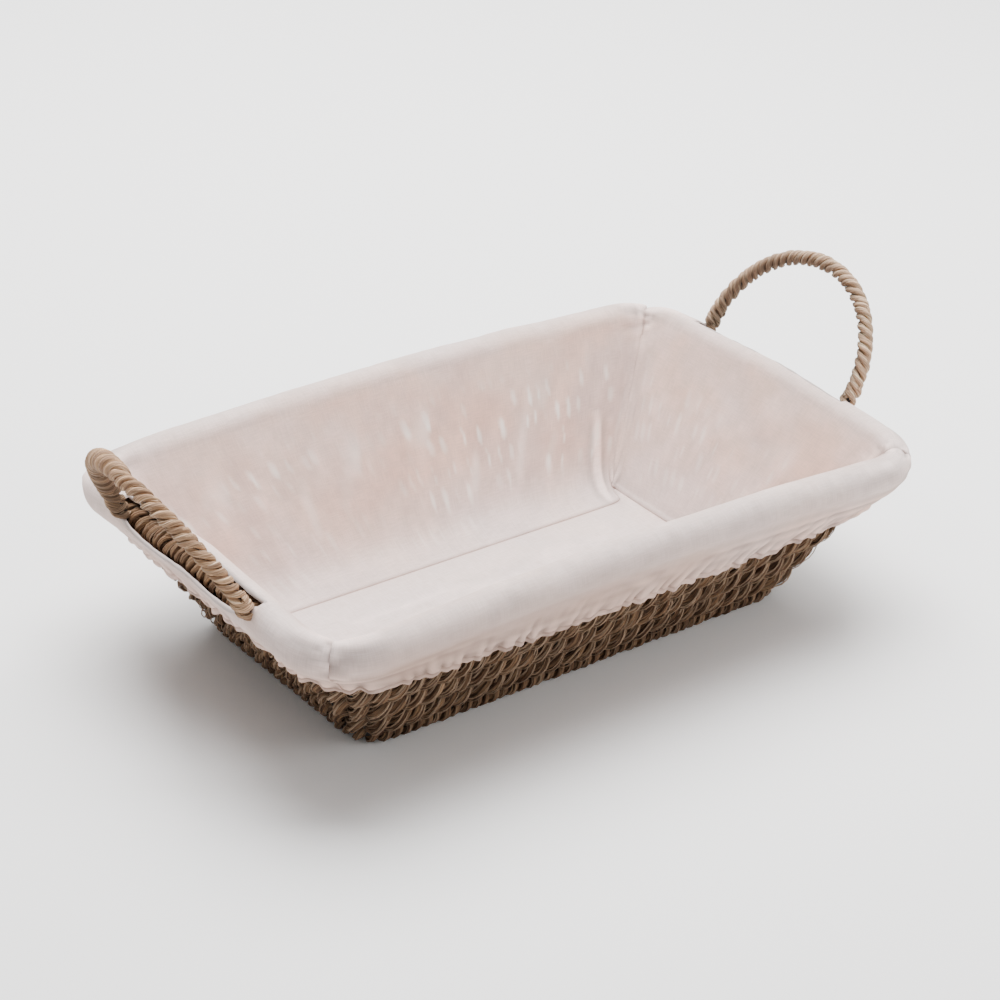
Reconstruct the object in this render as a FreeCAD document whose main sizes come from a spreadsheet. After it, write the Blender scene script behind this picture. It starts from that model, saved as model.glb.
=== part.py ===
import FreeCAD, Part
import math
import os
import Sketcher

# Lined bread basket: seagrass rows woven on a wire frame, two wrapped wire handles and a
# fitted cotton liner that folds over the rim and ends in an elastic hem.
# Millimetres. Origin at the middle of the base, on the surface it stands on.
# +X runs along the basket towards the right handle, +Y towards the rear, +Z up.

doc = FreeCAD.newDocument("bread_basket")

# ---------------------------------------------------------------- driving dimensions
sizes = doc.addObject("Spreadsheet::Sheet", "sizes")

DRIVING = [
    # the wall: its outer face at the ground, and how it leans out and rounds as it rises
    ("foot_length", 265.2),
    ("foot_width", 138.9),
    ("foot_corner", 16.7),
    ("end_flare", 0.619),
    ("side_flare", 0.489),
    ("corner_growth", 0.163),
    ("wall_thickness", 10.5),
    # the woven rows
    ("foot_height", 10.0),
    ("row_height", 13.5),
    ("row_bulge", 1.5),
    ("row_edge", 3.0),
    # the rim, measured to the middle of its tube
    ("rim_half_length", 181.1),
    ("rim_half_width", 106.8),
    ("rim_corner", 26.15),
    ("rim_level", 85.6),
    ("braid_radius", 7.8),
    # wires
    ("frame_wire_radius", 2.0),
    ("rib_radius", 1.2),
    ("rib_spacing", 27.0),
    ("rib_bottom", 10.0),
    ("rib_top", 82.0),
    # the base mat
    ("mat_bottom", 1.0),
    ("mat_thickness", 7.0),
    ("mat_row_width", 12.2),
    ("mat_row_round", 3.2),
    ("cross_wire_spacing", 34.0),
    # the handles
    ("arch_radius", 55.0),
    ("arch_leg", 2.5),
    ("arch_bury", 9.0),
    ("arch_lean", 31.5),
    ("arch_foot_out", 190.0),
    ("arch_foot_level", 90.1),
    ("right_arch_shift", 8.0),
    ("left_arch_shift", 1.0),
    ("wrap_radius", 4.2),
    ("lashing_radius", 5.2),
    ("lashing_below", 4.0),
    ("lashing_above", 7.0),
    # the liner
    ("cloth", 0.9),
    ("cloth_slant", 1.1),
    ("skin_inset", 0.2),
    ("cloth_gap", 0.2),
    ("liner_floor_level", 8.2),
    ("liner_floor_half_length", 122.3),
    ("liner_floor_half_width", 58.4),
    ("liner_floor_corner", 6.0),
    ("liner_end_flare", 0.631),
    ("liner_side_flare", 0.501),
    ("liner_corner_growth", 0.153),
    ("liner_top", 91.0),
    ("roll_cut_slope", 1.52),
    ("hem_level", 56.2),
    ("hem_half_length", 170.3),
    ("hem_half_width", 100.0),
    ("hem_corner", 29.0),
    ("flap_end_flare", 0.744),
    ("flap_side_flare", 0.582),
    ("flap_corner_growth", 0.178),
    ("flap_top", 81.3),
    ("hem_channel_radius", 2.0),
    ("elastic_radius", 1.1),
    ("slot_half_width", 61.0),
    ("slot_bottom", 83.5),
]
for index, (alias, value) in enumerate(DRIVING, start=1):
    sizes.set("A%d" % index, alias)
    sizes.set("B%d" % index, str(value))
    sizes.setAlias("B%d" % index, alias)
doc.recompute()

ROW_COUNT = 5
MAT_ROW_COUNT = 10
CROSS_WIRE_COUNT = 7
SIDE_RIB_COUNT = 9
END_RIB_COUNT = 5


def size(alias):
    """The number that a cell of the sheet holds."""
    return float(sizes.get(alias))


def bind(target, **formulas):
    """Bind properties of an object to formulas over the sheet's cells."""
    for name, formula in formulas.items():
        target.setExpression(name.replace("__", "."), formula)
    return target


# ---------------------------------------------------------------- outlines
def rounded_rectangle(name, half_length, half_width, corner, height):
    """A horizontal rounded rectangle about the Z axis, every size a formula."""
    sketch = doc.addObject("Sketcher::SketchObject", name)
    x, y, r = 100.0, 60.0, 15.0
    line = Part.LineSegment
    point = FreeCAD.Vector
    up = point(0, 0, 1)
    geometry = [
        line(point(r - x, -y, 0), point(x - r, -y, 0)),
        line(point(x, r - y, 0), point(x, y - r, 0)),
        line(point(x - r, y, 0), point(r - x, y, 0)),
        line(point(-x, y - r, 0), point(-x, r - y, 0)),
    ]
    turns = [(x - r, r - y, 270), (x - r, y - r, 0), (r - x, y - r, 90), (r - x, r - y, 180)]
    for centre_x, centre_y, start in turns:
        circle = Part.Circle(point(centre_x, centre_y, 0), up, r)
        geometry.append(Part.ArcOfCircle(circle, math.radians(start), math.radians(start + 90)))
    sketch.addGeometry(geometry, False)
    rule = Sketcher.Constraint
    rules = []
    for side in range(4):
        rules.append(rule("Tangent", side, 2, 4 + side, 1))
        rules.append(rule("Tangent", 4 + side, 2, (side + 1) % 4, 1))
    rules += [rule("Horizontal", 2), rule("Vertical", 3)]
    rules += [rule("Equal", 4, arc) for arc in (5, 6, 7)]
    rules += [rule("Symmetric", 0, 1, 0, 2, -2), rule("Symmetric", 1, 1, 1, 2, -1)]
    rules += [rule("DistanceX", -1, 1, 1, 1, x), rule("DistanceY", -1, 1, 2, 1, y)]
    rules.append(rule("Radius", 4, r))
    sketch.addConstraint(rules)
    count = len(rules)
    sketch.renameConstraint(count - 3, "half_length")
    sketch.renameConstraint(count - 2, "half_width")
    sketch.renameConstraint(count - 1, "corner")
    sketch.setExpression("Constraints.half_length", half_length)
    sketch.setExpression("Constraints.half_width", half_width)
    sketch.setExpression("Constraints.corner", corner)
    sketch.setExpression("Placement.Base.z", height)
    return sketch


def wall_section(name, height, offset):
    """The outline of the woven wall's outer face at a height, grown by an offset."""
    return rounded_rectangle(
        name,
        "sizes.foot_length / 2 + sizes.end_flare * (%s) + (%s)" % (height, offset),
        "sizes.foot_width / 2 + sizes.side_flare * (%s) + (%s)" % (height, offset),
        "sizes.foot_corner + sizes.corner_growth * (%s) + (%s)" % (height, offset),
        height,
    )


def liner_section(name, height, offset):
    """The outline of the liner's inner face at a height, grown by an offset."""
    rise = "(%s - sizes.liner_floor_level - sizes.cloth)" % height
    return rounded_rectangle(
        name,
        "sizes.liner_floor_half_length + sizes.liner_end_flare * %s + (%s)" % (rise, offset),
        "sizes.liner_floor_half_width + sizes.liner_side_flare * %s + (%s)" % (rise, offset),
        "sizes.liner_floor_corner + sizes.liner_corner_growth * %s + (%s)" % (rise, offset),
        height,
    )


def flap_section(name, height, offset):
    """The outline of the outer flap's visible face at a height, grown by an offset."""
    rise = "(%s - sizes.hem_level)" % height
    return rounded_rectangle(
        name,
        "sizes.hem_half_length + sizes.flap_end_flare * %s + (%s)" % (rise, offset),
        "sizes.hem_half_width + sizes.flap_side_flare * %s + (%s)" % (rise, offset),
        "sizes.hem_corner + sizes.flap_corner_growth * %s + (%s)" % (rise, offset),
        height,
    )


def rim_section(name, height, offset):
    """The middle line of the rim tube, moved to a height and grown by an offset."""
    return rounded_rectangle(
        name,
        "sizes.rim_half_length + (%s)" % offset,
        "sizes.rim_half_width + (%s)" % offset,
        "sizes.rim_corner + (%s)" % offset,
        height,
    )


# ---------------------------------------------------------------- solids
def loft(name, sections):
    """A solid with flat sides between outlines stacked upwards."""
    solid = doc.addObject("Part::Loft", name)
    solid.Sections = sections
    solid.Solid = True
    solid.Ruled = True
    return solid


def cut(name, base, *tools):
    """One solid less one or more others."""
    result = base
    for index, tool in enumerate(tools, start=1):
        step = name if index == len(tools) else "%s_step_%d" % (name, index)
        less = doc.addObject("Part::Cut", step)
        less.Base = result
        less.Tool = tool
        result = less
    return result


def group(name, members):
    """Separate solids kept together as one sub-part."""
    together = doc.addObject("Part::Compound", name)
    together.Links = members
    return together


def ring(name, path, radius, reach, level):
    """A round tube that follows a closed outline. It starts on the +X side of the outline."""
    profile = doc.addObject("Sketcher::SketchObject", name + "_profile")
    middle = FreeCAD.Vector(0, 0, 0)
    profile.addGeometry(Part.Circle(middle, FreeCAD.Vector(0, 0, 1), 2.0), False)
    profile.addConstraint(Sketcher.Constraint("Coincident", 0, 3, -1, 1))
    profile.addConstraint(Sketcher.Constraint("Radius", 0, 2.0))
    profile.renameConstraint(1, "radius")
    profile.setExpression("Constraints.radius", radius)
    profile.Placement = FreeCAD.Placement(middle, FreeCAD.Rotation(FreeCAD.Vector(1, 0, 0), 90))
    bind(profile, Placement__Base__x=reach, Placement__Base__z=level)
    tube = doc.addObject("Part::Sweep", name)
    tube.Sections = [profile]
    tube.Spine = (path, ["Edge%d" % number for number in range(1, 9)])
    tube.Solid = True
    tube.Frenet = False
    return tube


def slanted_wire(name, foot, head):
    """A straight wire between two points."""
    wire = doc.addObject("Part::Cylinder", name)
    bind(wire, Radius="sizes.rib_radius")
    along = head - foot
    wire.Height = along.Length
    wire.Placement = FreeCAD.Placement(foot, FreeCAD.Rotation(FreeCAD.Vector(0, 0, 1), along))
    return wire


subparts = []


def subpart(thing, label):
    """Name a finished piece; the label is also its file's name."""
    thing.Label = label
    subparts.append(thing)
    return thing


# ---------------------------------------------------------------- wire frame
def middle_reach(height, along_x):
    """Distance from the Z axis to the middle of the wall's thickness at a height."""
    if along_x:
        face = size("foot_length") / 2 + size("end_flare") * height
    else:
        face = size("foot_width") / 2 + size("side_flare") * height
    return face - size("wall_thickness") / 2


def corner_point(height):
    """The middle of the wall at the middle of the right rear corner, at a height."""
    radius = size("foot_corner") + size("corner_growth") * height - size("wall_thickness") / 2
    inset = radius * (1 - math.sqrt(0.5))
    return middle_reach(height, True) - inset, middle_reach(height, False) - inset


def spread(count, spacing):
    """Evenly spaced places about zero."""
    return [(number - (count - 1) / 2) * spacing for number in range(count)]


low = size("rib_bottom")
high = size("rib_top")
rib_groups = []
for side_name, side in (("front", -1), ("rear", 1)):
    wires = []
    for number, x in enumerate(spread(SIDE_RIB_COUNT, size("rib_spacing")), start=1):
        foot = FreeCAD.Vector(x, side * middle_reach(low, False), low)
        head = FreeCAD.Vector(x, side * middle_reach(high, False), high)
        wires.append(slanted_wire("rib_%s_%d" % (side_name, number), foot, head))
    rib_groups.append(subpart(group("ribs_" + side_name, wires), "rib_wires_" + side_name))
for side_name, side in (("left", -1), ("right", 1)):
    wires = []
    for number, y in enumerate(spread(END_RIB_COUNT, size("rib_spacing")), start=1):
        foot = FreeCAD.Vector(side * middle_reach(low, True), y, low)
        head = FreeCAD.Vector(side * middle_reach(high, True), y, high)
        wires.append(slanted_wire("rib_%s_%d" % (side_name, number), foot, head))
    rib_groups.append(subpart(group("ribs_" + side_name, wires), "rib_wires_" + side_name))
wires = []
for side_x in (-1, 1):
    for side_y in (-1, 1):
        (foot_x, foot_y), (head_x, head_y) = corner_point(low), corner_point(high)
        foot = FreeCAD.Vector(side_x * foot_x, side_y * foot_y, low)
        head = FreeCAD.Vector(side_x * head_x, side_y * head_y, high)
        wires.append(slanted_wire("rib_corner_%d" % (len(wires) + 1), foot, head))
rib_groups.append(subpart(group("ribs_corner", wires), "rib_wires_corner"))
all_ribs = group("all_ribs", rib_groups)

WIRE_LEVEL = "sizes.foot_height / 2"
WIRE_REACH = "sizes.foot_length / 2 + sizes.end_flare * %s - sizes.wall_thickness / 2" % WIRE_LEVEL
base_path = wall_section("base_wire_path", WIRE_LEVEL, "-sizes.wall_thickness / 2")
base_wire = ring("base_wire", base_path, "sizes.frame_wire_radius", WIRE_REACH, WIRE_LEVEL)
subpart(base_wire, "base_wire")

rim_path = rim_section("rim_path", "sizes.rim_level", "0")
rim_wire = ring("rim_wire", rim_path, "sizes.frame_wire_radius", "sizes.rim_half_length",
                "sizes.rim_level")
subpart(rim_wire, "rim_wire")

cross_wires = []
cross_level = size("mat_bottom") + size("mat_thickness") / 2
cross_reach = middle_reach(cross_level, False) - size("wall_thickness") / 2
for number, x in enumerate(spread(CROSS_WIRE_COUNT, size("cross_wire_spacing")), start=1):
    near = FreeCAD.Vector(x, -cross_reach, cross_level)
    far = FreeCAD.Vector(x, cross_reach, cross_level)
    cross_wires.append(slanted_wire("cross_wire_%d" % number, near, far))
base_cross_wires = subpart(group("cross_wires", cross_wires), "base_cross_wires")


# ---------------------------------------------------------------- woven wall and base
wall_void = loft("wall_void", [
    wall_section("wall_void_bottom", "-1", "-sizes.wall_thickness"),
    wall_section("wall_void_top", "sizes.rim_level", "-sizes.wall_thickness"),
])


def woven_band(name, bottom, top, *wires):
    """One woven row: it bulges outwards between two pinched edges, and wires run through it."""
    edge = "sizes.row_edge"
    outside = loft(name + "_outside", [
        wall_section(name + "_a", bottom, "0"),
        wall_section(name + "_b", "%s + %s" % (bottom, edge), "sizes.row_bulge"),
        wall_section(name + "_c", "%s - %s" % (top, edge), "sizes.row_bulge"),
        wall_section(name + "_d", top, "0"),
    ])
    return cut(name, outside, wall_void, *wires)


foot_border = woven_band("foot_band", "0", "sizes.foot_height", base_wire)
subpart(foot_border, "foot_border")
for row in range(ROW_COUNT):
    bottom = "sizes.foot_height + %d * sizes.row_height" % row
    top = "sizes.foot_height + %d * sizes.row_height" % (row + 1)
    band = woven_band("band_%d" % (row + 1), bottom, top, all_ribs)
    subpart(band, "weave_row_%02d" % (row + 1))

mat_rows = []
for number, y in enumerate(spread(MAT_ROW_COUNT, size("mat_row_width")), start=1):
    slab = doc.addObject("Part::Box", "mat_slab_%d" % number)
    bind(slab, Length="sizes.foot_length", Width="sizes.mat_row_width", Height="sizes.mat_thickness",
         Placement__Base__x="-sizes.foot_length / 2", Placement__Base__z="sizes.mat_bottom")
    slab.setExpression("Placement.Base.y", "%g * sizes.mat_row_width" % ((number - 1) - MAT_ROW_COUNT / 2))
    doc.recompute()
    soft = doc.addObject("Part::Fillet", "mat_row_%d" % number)
    soft.Base = slab
    long_edges = [place for place, edge in enumerate(slab.Shape.Edges, start=1)
                  if edge.BoundBox.XLength > edge.BoundBox.YLength + edge.BoundBox.ZLength]
    soft.Edges = [(place, size("mat_row_round"), size("mat_row_round")) for place in long_edges]
    row_in_wall = doc.addObject("Part::Common", "mat_trimmed_%d" % number)
    row_in_wall.Base = soft
    row_in_wall.Tool = wall_void
    mat_rows.append(cut("mat_%d" % number, row_in_wall, base_cross_wires))
subpart(group("mat", mat_rows), "base_weave")


# ---------------------------------------------------------------- handles
# The basket is made by hand, and its handles are not quite in the middle of its ends.
side_names = {-1: "left", 1: "right"}


def arch(name, side, radius, start):
    """A round bar bent to an arch. It stands in a plane that leans out over one end."""
    body = doc.addObject("PartDesign::Body", name)
    planes = {plane.Role: plane for plane in body.Origin.OriginFeatures}
    path = body.newObject("Sketcher::SketchObject", name + "_path")
    path.AttachmentSupport = [(planes["YZ_Plane"], "")]
    path.MapMode = "FlatFace"
    reach, leg, foot = size("arch_radius"), size("arch_leg"), size(start[0]) * start[1]
    point = FreeCAD.Vector
    path.addGeometry([
        Part.LineSegment(point(reach, foot, 0), point(reach, leg, 0)),
        Part.ArcOfCircle(Part.Circle(point(0, leg, 0), point(0, 0, 1), reach), 0, math.pi),
        Part.LineSegment(point(-reach, leg, 0), point(-reach, foot, 0)),
    ], False)
    rule = Sketcher.Constraint
    path.addConstraint([
        rule("Tangent", 0, 2, 1, 1),
        rule("Tangent", 1, 2, 2, 1),
        rule("Vertical", 0),
        rule("PointOnObject", 1, 3, -2),
        rule("Horizontal", 0, 1, 2, 2),
        rule("Radius", 1, reach),
        rule("DistanceY", -1, 1, 1, 3, leg),
        rule("DistanceY", -1, 1, 0, 1, foot),
    ])
    path.renameConstraint(5, "reach")
    path.renameConstraint(6, "leg")
    path.renameConstraint(7, "foot")
    path.setExpression("Constraints.reach", "sizes.arch_radius")
    path.setExpression("Constraints.leg", "sizes.arch_leg")
    path.setExpression("Constraints.foot", "%d * sizes.%s" % (start[1], start[0]))
    profile = body.newObject("Sketcher::SketchObject", name + "_section")
    profile.AttachmentSupport = [(planes["XY_Plane"], "")]
    profile.MapMode = "FlatFace"
    profile.setExpression("AttachmentOffset.Base.z", "%d * sizes.%s" % (start[1], start[0]))
    profile.addGeometry(Part.Circle(point(0, reach, 0), point(0, 0, 1), size(radius)), False)
    profile.addConstraint([
        rule("PointOnObject", 0, 3, -2),
        rule("DistanceY", -1, 1, 0, 3, reach),
        rule("Radius", 0, size(radius)),
    ])
    profile.renameConstraint(1, "reach")
    profile.renameConstraint(2, "radius")
    profile.setExpression("Constraints.reach", "sizes.arch_radius")
    profile.setExpression("Constraints.radius", "sizes." + radius)
    doc.recompute()
    pipe = body.newObject("PartDesign::AdditivePipe", name + "_pipe")
    pipe.Profile = profile
    pipe.Spine = (path, ["Edge1", "Edge2", "Edge3"])
    body.Tip = pipe
    lean = FreeCAD.Rotation(FreeCAD.Vector(0, 1, 0), side * size("arch_lean"))
    body.Placement = FreeCAD.Placement(FreeCAD.Vector(0, 0, 0), lean)
    bind(body, Placement__Base__x="%d * sizes.arch_foot_out" % side,
         Placement__Base__y="sizes.%s_arch_shift" % side_names[side],
         Placement__Base__z="sizes.arch_foot_level")
    return body


braid_tube = ring("braid_tube", rim_path, "sizes.braid_radius", "sizes.rim_half_length", "sizes.rim_level")
cores = []
for side, side_name in side_names.items():
    core = arch("core_" + side_name, side, "frame_wire_radius", ("arch_bury", -1))
    cores.append(subpart(core, "handle_core_" + side_name))
    bar = arch("bar_" + side_name, side, "wrap_radius", ("lashing_above", 1))
    subpart(cut("wrap_" + side_name, bar, core), "handle_wrap_" + side_name)
    for place_name, place in (("front", -1), ("rear", 1)):
        name = "lashing_%s_%s" % (side_name, place_name)
        barrel = doc.addObject("Part::Cylinder", name + "_barrel")
        bind(barrel, Radius="sizes.lashing_radius", Height="sizes.lashing_below + sizes.lashing_above")
        lean = math.radians(size("arch_lean"))
        drop = size("lashing_below")
        out = side * (size("arch_foot_out") - drop * math.sin(lean))
        level = size("arch_foot_level") - drop * math.cos(lean)
        turn = FreeCAD.Rotation(FreeCAD.Vector(0, 1, 0), side * size("arch_lean"))
        across = size(side_name + "_arch_shift") + place * size("arch_radius")
        barrel.Placement = FreeCAD.Placement(FreeCAD.Vector(out, across, level), turn)
        subpart(cut(name, barrel, core, braid_tube), "handle_" + name)

rim_braid = cut("rim_braid", braid_tube, rim_wire, all_ribs, cores[0], cores[1])
subpart(rim_braid, "rim_braid")


# ---------------------------------------------------------------- liner
FLOOR_TOP = "sizes.liner_floor_level + sizes.cloth"
floor_path = liner_section("liner_floor_outline", "sizes.liner_floor_level", "sizes.cloth_slant")
floor_top_path = liner_section("liner_floor_top_outline", FLOOR_TOP, "sizes.cloth_slant")
liner_floor = subpart(loft("liner_floor", [floor_path, floor_top_path]), "liner_floor")

# The wall and flap skins are set in a little on both faces, so that their upper ends lie
# wholly inside the skin of the roll over the rim and join it cleanly.
funnel = cut(
    "funnel",
    loft("funnel_outside", [
        liner_section("funnel_outside_bottom", FLOOR_TOP, "sizes.cloth_slant - sizes.skin_inset"),
        liner_section("funnel_outside_top", "sizes.liner_top", "sizes.cloth_slant - sizes.skin_inset"),
    ]),
    loft("funnel_inside", [
        liner_section("funnel_inside_bottom", FLOOR_TOP + " - 1", "sizes.skin_inset"),
        liner_section("funnel_inside_top", "sizes.liner_top + 1", "sizes.skin_inset"),
    ]),
)
flap = cut(
    "flap",
    loft("flap_outside", [
        flap_section("flap_outside_bottom", "sizes.hem_level", "-sizes.skin_inset"),
        flap_section("flap_outside_top", "sizes.flap_top", "-sizes.skin_inset"),
    ]),
    loft("flap_inside", [
        flap_section("flap_inside_bottom", "sizes.hem_level - 1", "sizes.skin_inset - sizes.cloth_slant"),
        flap_section("flap_inside_top", "sizes.flap_top + 1", "sizes.skin_inset - sizes.cloth_slant"),
    ]),
)
roll_outside = ring("roll_outside", rim_path, "sizes.braid_radius + sizes.cloth_gap + sizes.cloth",
                    "sizes.rim_half_length", "sizes.rim_level")
roll_inside = ring("roll_inside", rim_path, "sizes.braid_radius + sizes.cloth_gap",
                   "sizes.rim_half_length", "sizes.rim_level")
roll_trim = loft("roll_trim", [
    rim_section("roll_trim_low", "sizes.rim_level - 10", "10 * sizes.roll_cut_slope"),
    rim_section("roll_trim_high", "sizes.rim_level + 10", "-10 * sizes.roll_cut_slope"),
])
roll = cut("roll", roll_outside, roll_inside, roll_trim)
skin = doc.addObject("Part::MultiFuse", "liner_skin")
skin.Shapes = [funnel, roll, flap]


def corner_seam(height):
    """Where the seam in the right rear corner of the liner passes, seen from above."""
    rise = height - size("liner_floor_level") - size("cloth")
    radius = size("liner_floor_corner") + size("liner_corner_growth") * rise
    inset = radius * (1 - math.sqrt(0.5))
    x = size("liner_floor_half_length") + size("liner_end_flare") * rise - inset
    y = size("liner_floor_half_width") + size("liner_side_flare") * rise - inset
    return x, y


def wedge(name, outline):
    """A tall prism over an outline given as corners seen from above."""
    feature = doc.addObject("Part::Feature", name)
    corners = [FreeCAD.Vector(x, y, 0) for x, y in outline]
    face = Part.Face(Part.makePolygon(corners + corners[:1]))
    feature.Shape = face.extrude(FreeCAD.Vector(0, 0, 2 * size("rim_level")))
    return feature


seam_low, seam_high = corner_seam(size("liner_floor_level")), corner_seam(size("rim_level"))
seam_slope = (seam_high[1] - seam_low[1]) / (seam_high[0] - seam_low[0])
seam_start = seam_low[0] - seam_low[1] / seam_slope
far_x = size("rim_half_length") * 1.5
far_y = (far_x - seam_start) * seam_slope
WEDGES = {
    "left": [(-seam_start, 0), (-far_x, far_y), (-far_x, -far_y)],
    "right": [(seam_start, 0), (far_x, -far_y), (far_x, far_y)],
    "front": [(-seam_start, 0), (-far_x, -far_y), (far_x, -far_y), (seam_start, 0)],
    "rear": [(seam_start, 0), (far_x, far_y), (-far_x, far_y), (-seam_start, 0)],
}
for side_name, outline in WEDGES.items():
    panel = doc.addObject("Part::Common", "liner_cut_" + side_name)
    panel.Base = skin
    panel.Tool = wedge("liner_wedge_" + side_name, outline)
    if side_name in ("left", "right"):
        slot = doc.addObject("Part::Box", "slot_" + side_name)
        bind(slot, Length="sizes.rim_half_length", Width="2 * sizes.slot_half_width",
             Height="sizes.rim_level", Placement__Base__z="sizes.slot_bottom",
             Placement__Base__y="sizes.%s_arch_shift - sizes.slot_half_width" % side_name)
        slot_x = "sizes.rim_half_length" if side_name == "right" else "-2 * sizes.rim_half_length"
        slot.setExpression("Placement.Base.x", slot_x)
        panel = cut("liner_slotted_" + side_name, panel, slot)
    subpart(panel, "liner_" + side_name)

HEM_MIDDLE = "sizes.hem_level - sizes.hem_channel_radius"
HEM_OFFSET = "sizes.row_bulge + sizes.cloth_gap + sizes.hem_channel_radius"
HEM_REACH = "sizes.foot_length / 2 + sizes.end_flare * (%s) + %s" % (HEM_MIDDLE, HEM_OFFSET)
hem_path = wall_section("hem_path", HEM_MIDDLE, HEM_OFFSET)
elastic = ring("elastic", hem_path, "sizes.elastic_radius", HEM_REACH, HEM_MIDDLE)
subpart(elastic, "hem_elastic")
channel_tube = ring("hem_tube", hem_path, "sizes.hem_channel_radius", HEM_REACH, HEM_MIDDLE)
subpart(cut("hem", channel_tube, elastic), "liner_hem")


# ---------------------------------------------------------------- check and write
doc.recompute()
for thing in doc.Objects:
    if "Invalid" in thing.State or "Error" in thing.State:
        raise RuntimeError("%s did not build: %s" % (thing.Name, thing.State))
for thing in subparts:
    shape = thing.Shape
    if shape.isNull() or not shape.isValid() or not shape.Solids:
        raise RuntimeError("%s has no valid solid" % thing.Label)
    print("%-28s solids %2d  volume %9.1f mm3" % (thing.Label, len(shape.Solids), shape.Volume))

os.makedirs("parts", exist_ok=True)
for thing in subparts:
    thing.Shape.exportStep("parts/%s.step" % thing.Label)
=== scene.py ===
"""Looks of a lined bread basket: twined seagrass, wrapped wire handles and a fitted cotton liner."""

import math

import bmesh
import bpy
import numpy as np
from mathutils import Matrix, Vector


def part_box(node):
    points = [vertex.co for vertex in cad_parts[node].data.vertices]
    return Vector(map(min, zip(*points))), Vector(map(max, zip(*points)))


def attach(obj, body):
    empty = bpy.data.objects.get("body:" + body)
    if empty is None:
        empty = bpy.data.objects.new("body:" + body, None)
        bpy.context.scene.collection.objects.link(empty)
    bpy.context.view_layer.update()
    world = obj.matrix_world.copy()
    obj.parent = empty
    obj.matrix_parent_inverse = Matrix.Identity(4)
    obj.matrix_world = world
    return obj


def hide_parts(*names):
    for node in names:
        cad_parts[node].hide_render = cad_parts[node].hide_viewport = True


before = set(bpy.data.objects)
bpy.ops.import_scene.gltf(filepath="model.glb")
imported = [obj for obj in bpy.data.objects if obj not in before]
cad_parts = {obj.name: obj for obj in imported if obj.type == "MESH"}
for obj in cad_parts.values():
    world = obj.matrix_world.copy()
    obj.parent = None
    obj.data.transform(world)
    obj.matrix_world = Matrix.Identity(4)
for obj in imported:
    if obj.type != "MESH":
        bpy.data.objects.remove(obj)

bl_info = {
    "name": "Lined bread basket",
    "version": (1, 0, 0),
    "blender": (4, 5, 0),
    "location": "3D View > Sidebar > Basket",
    "description": "Builds the seagrass, the cotton liner, the finishes and the studio of a bread basket",
    "category": "Object",
}

MM = 0.001
BODY = "root"
TURN = 2 * math.pi
CORNER_POINTS = 13
NOISE_ROWS = 97
ROW_NODES = sorted(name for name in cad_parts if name.startswith("weave_row"))
WIRE_NODES = sorted(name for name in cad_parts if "wire" in name or "core" in name)
SIDES = {"right": 0, "rear": 90, "left": 180, "front": 270}


# ------------------------------------------------------------------ what a user may change
def length(name, description, default, **more):
    """A property that holds a length in metres."""
    return bpy.props.FloatProperty(
        name=name, description=description, default=default, unit="LENGTH", precision=4, **more
    )


def colour(name, description, default):
    """A property that holds a colour."""
    return bpy.props.FloatVectorProperty(
        name=name, description=description, default=default, subtype="COLOR", size=3, min=0, max=1
    )


def share(name, description, default):
    """A property that holds a plain share or strength."""
    return bpy.props.FloatProperty(name=name, description=description, default=default, min=0)


class SeagrassSettings(bpy.types.PropertyGroup):
    row_lay: length("Lay of a row", "Length in which a row's two strands turn once", 19 * MM)
    row_thickness: length("Row thickness", "How thick the woven wall is", 11.5 * MM)
    border_lay: length("Lay of the foot border", "Length in which the border's wrap turns once", 11.5 * MM)
    braid_lay: length("Lay of the rim", "Length in which the rim's strands turn once", 15.5 * MM)
    wrap_lay: length("Lay of the handles", "Length in which a handle's wrap turns once", 14.5 * MM)
    mat_lay: length("Lay of the base", "Length in which the base rows turn once", 24 * MM)
    unevenness: length("Unevenness", "How far a strand strays from its line", 0.8 * MM)
    light: colour("Light straw", "Colour of the palest leaf", (0.62, 0.365, 0.19))
    middle: colour("Leaf brown", "Colour of most of the leaf", (0.30, 0.148, 0.07))
    # Colour of bleached leaf and torn edges, and also painted light: the right handle is drawn paler toward
    # it, as if lit from behind.
    faded_and_backlit: colour("Faded leaf", "Colour of bleached leaf and of torn edges", (0.80, 0.60, 0.44))
    dark: colour("Dark leaf", "Colour of the creases and the darkest leaf", (0.045, 0.021, 0.012))


class LinerSettings(bpy.types.PropertyGroup):
    thickness: length("Cloth thickness", "How thick the cotton is", 0.9 * MM)
    grid: length("Cloth detail", "Distance between the points of the cloth", 1.5 * MM)
    corner_dip: length("Corner dip", "How far the rim falls at its corners", 4.8 * MM)
    dip_reach: length("Reach of the dip", "How far from a corner the rim still falls", 61 * MM)
    hem_rise: length("Hem rise", "How far the hem climbs at the corners", 4 * MM)
    wall_sag: length("Wall sag", "How far the cloth stands off the wall", 1.0 * MM)
    gather: length("Gathers", "Depth of the gathers above the elastic", 1.0 * MM)
    stitch: length("Stitch", "Length of one stitch with its gap", 3.2 * MM)
    slot_room: length("Slot room", "Room beside a handle's foot in the opening for it", 3.5 * MM)
    end_lift: length("End lift", "How much higher the hem sits at the right end", 7 * MM)
    cotton: colour("Cotton", "Colour of the cloth", (0.86, 0.735, 0.695))
    # The tint where brown weave shows through the cloth, which also stands for painted bounce light from the
    # weave on the walls in shade.
    show_through_and_bounce_cotton: colour("Veiled cotton", "Colour where brown weave shows through the cloth", (0.84, 0.575, 0.475))
    # Painted shade: the flap is drawn toward this darker colour where it is in shade; the weave close behind
    # the cloth darkens it a little too.
    shaded: colour("Shaded cotton", "Colour of the flap where dark weave lies close behind",
                   (0.43, 0.285, 0.225))
    cove: length("Cove", "How far from the seam the cloth starts to curve into the floor", 18 * MM)
    thread: colour("Thread", "Colour of the stitches", (0.74, 0.65, 0.58))


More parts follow.
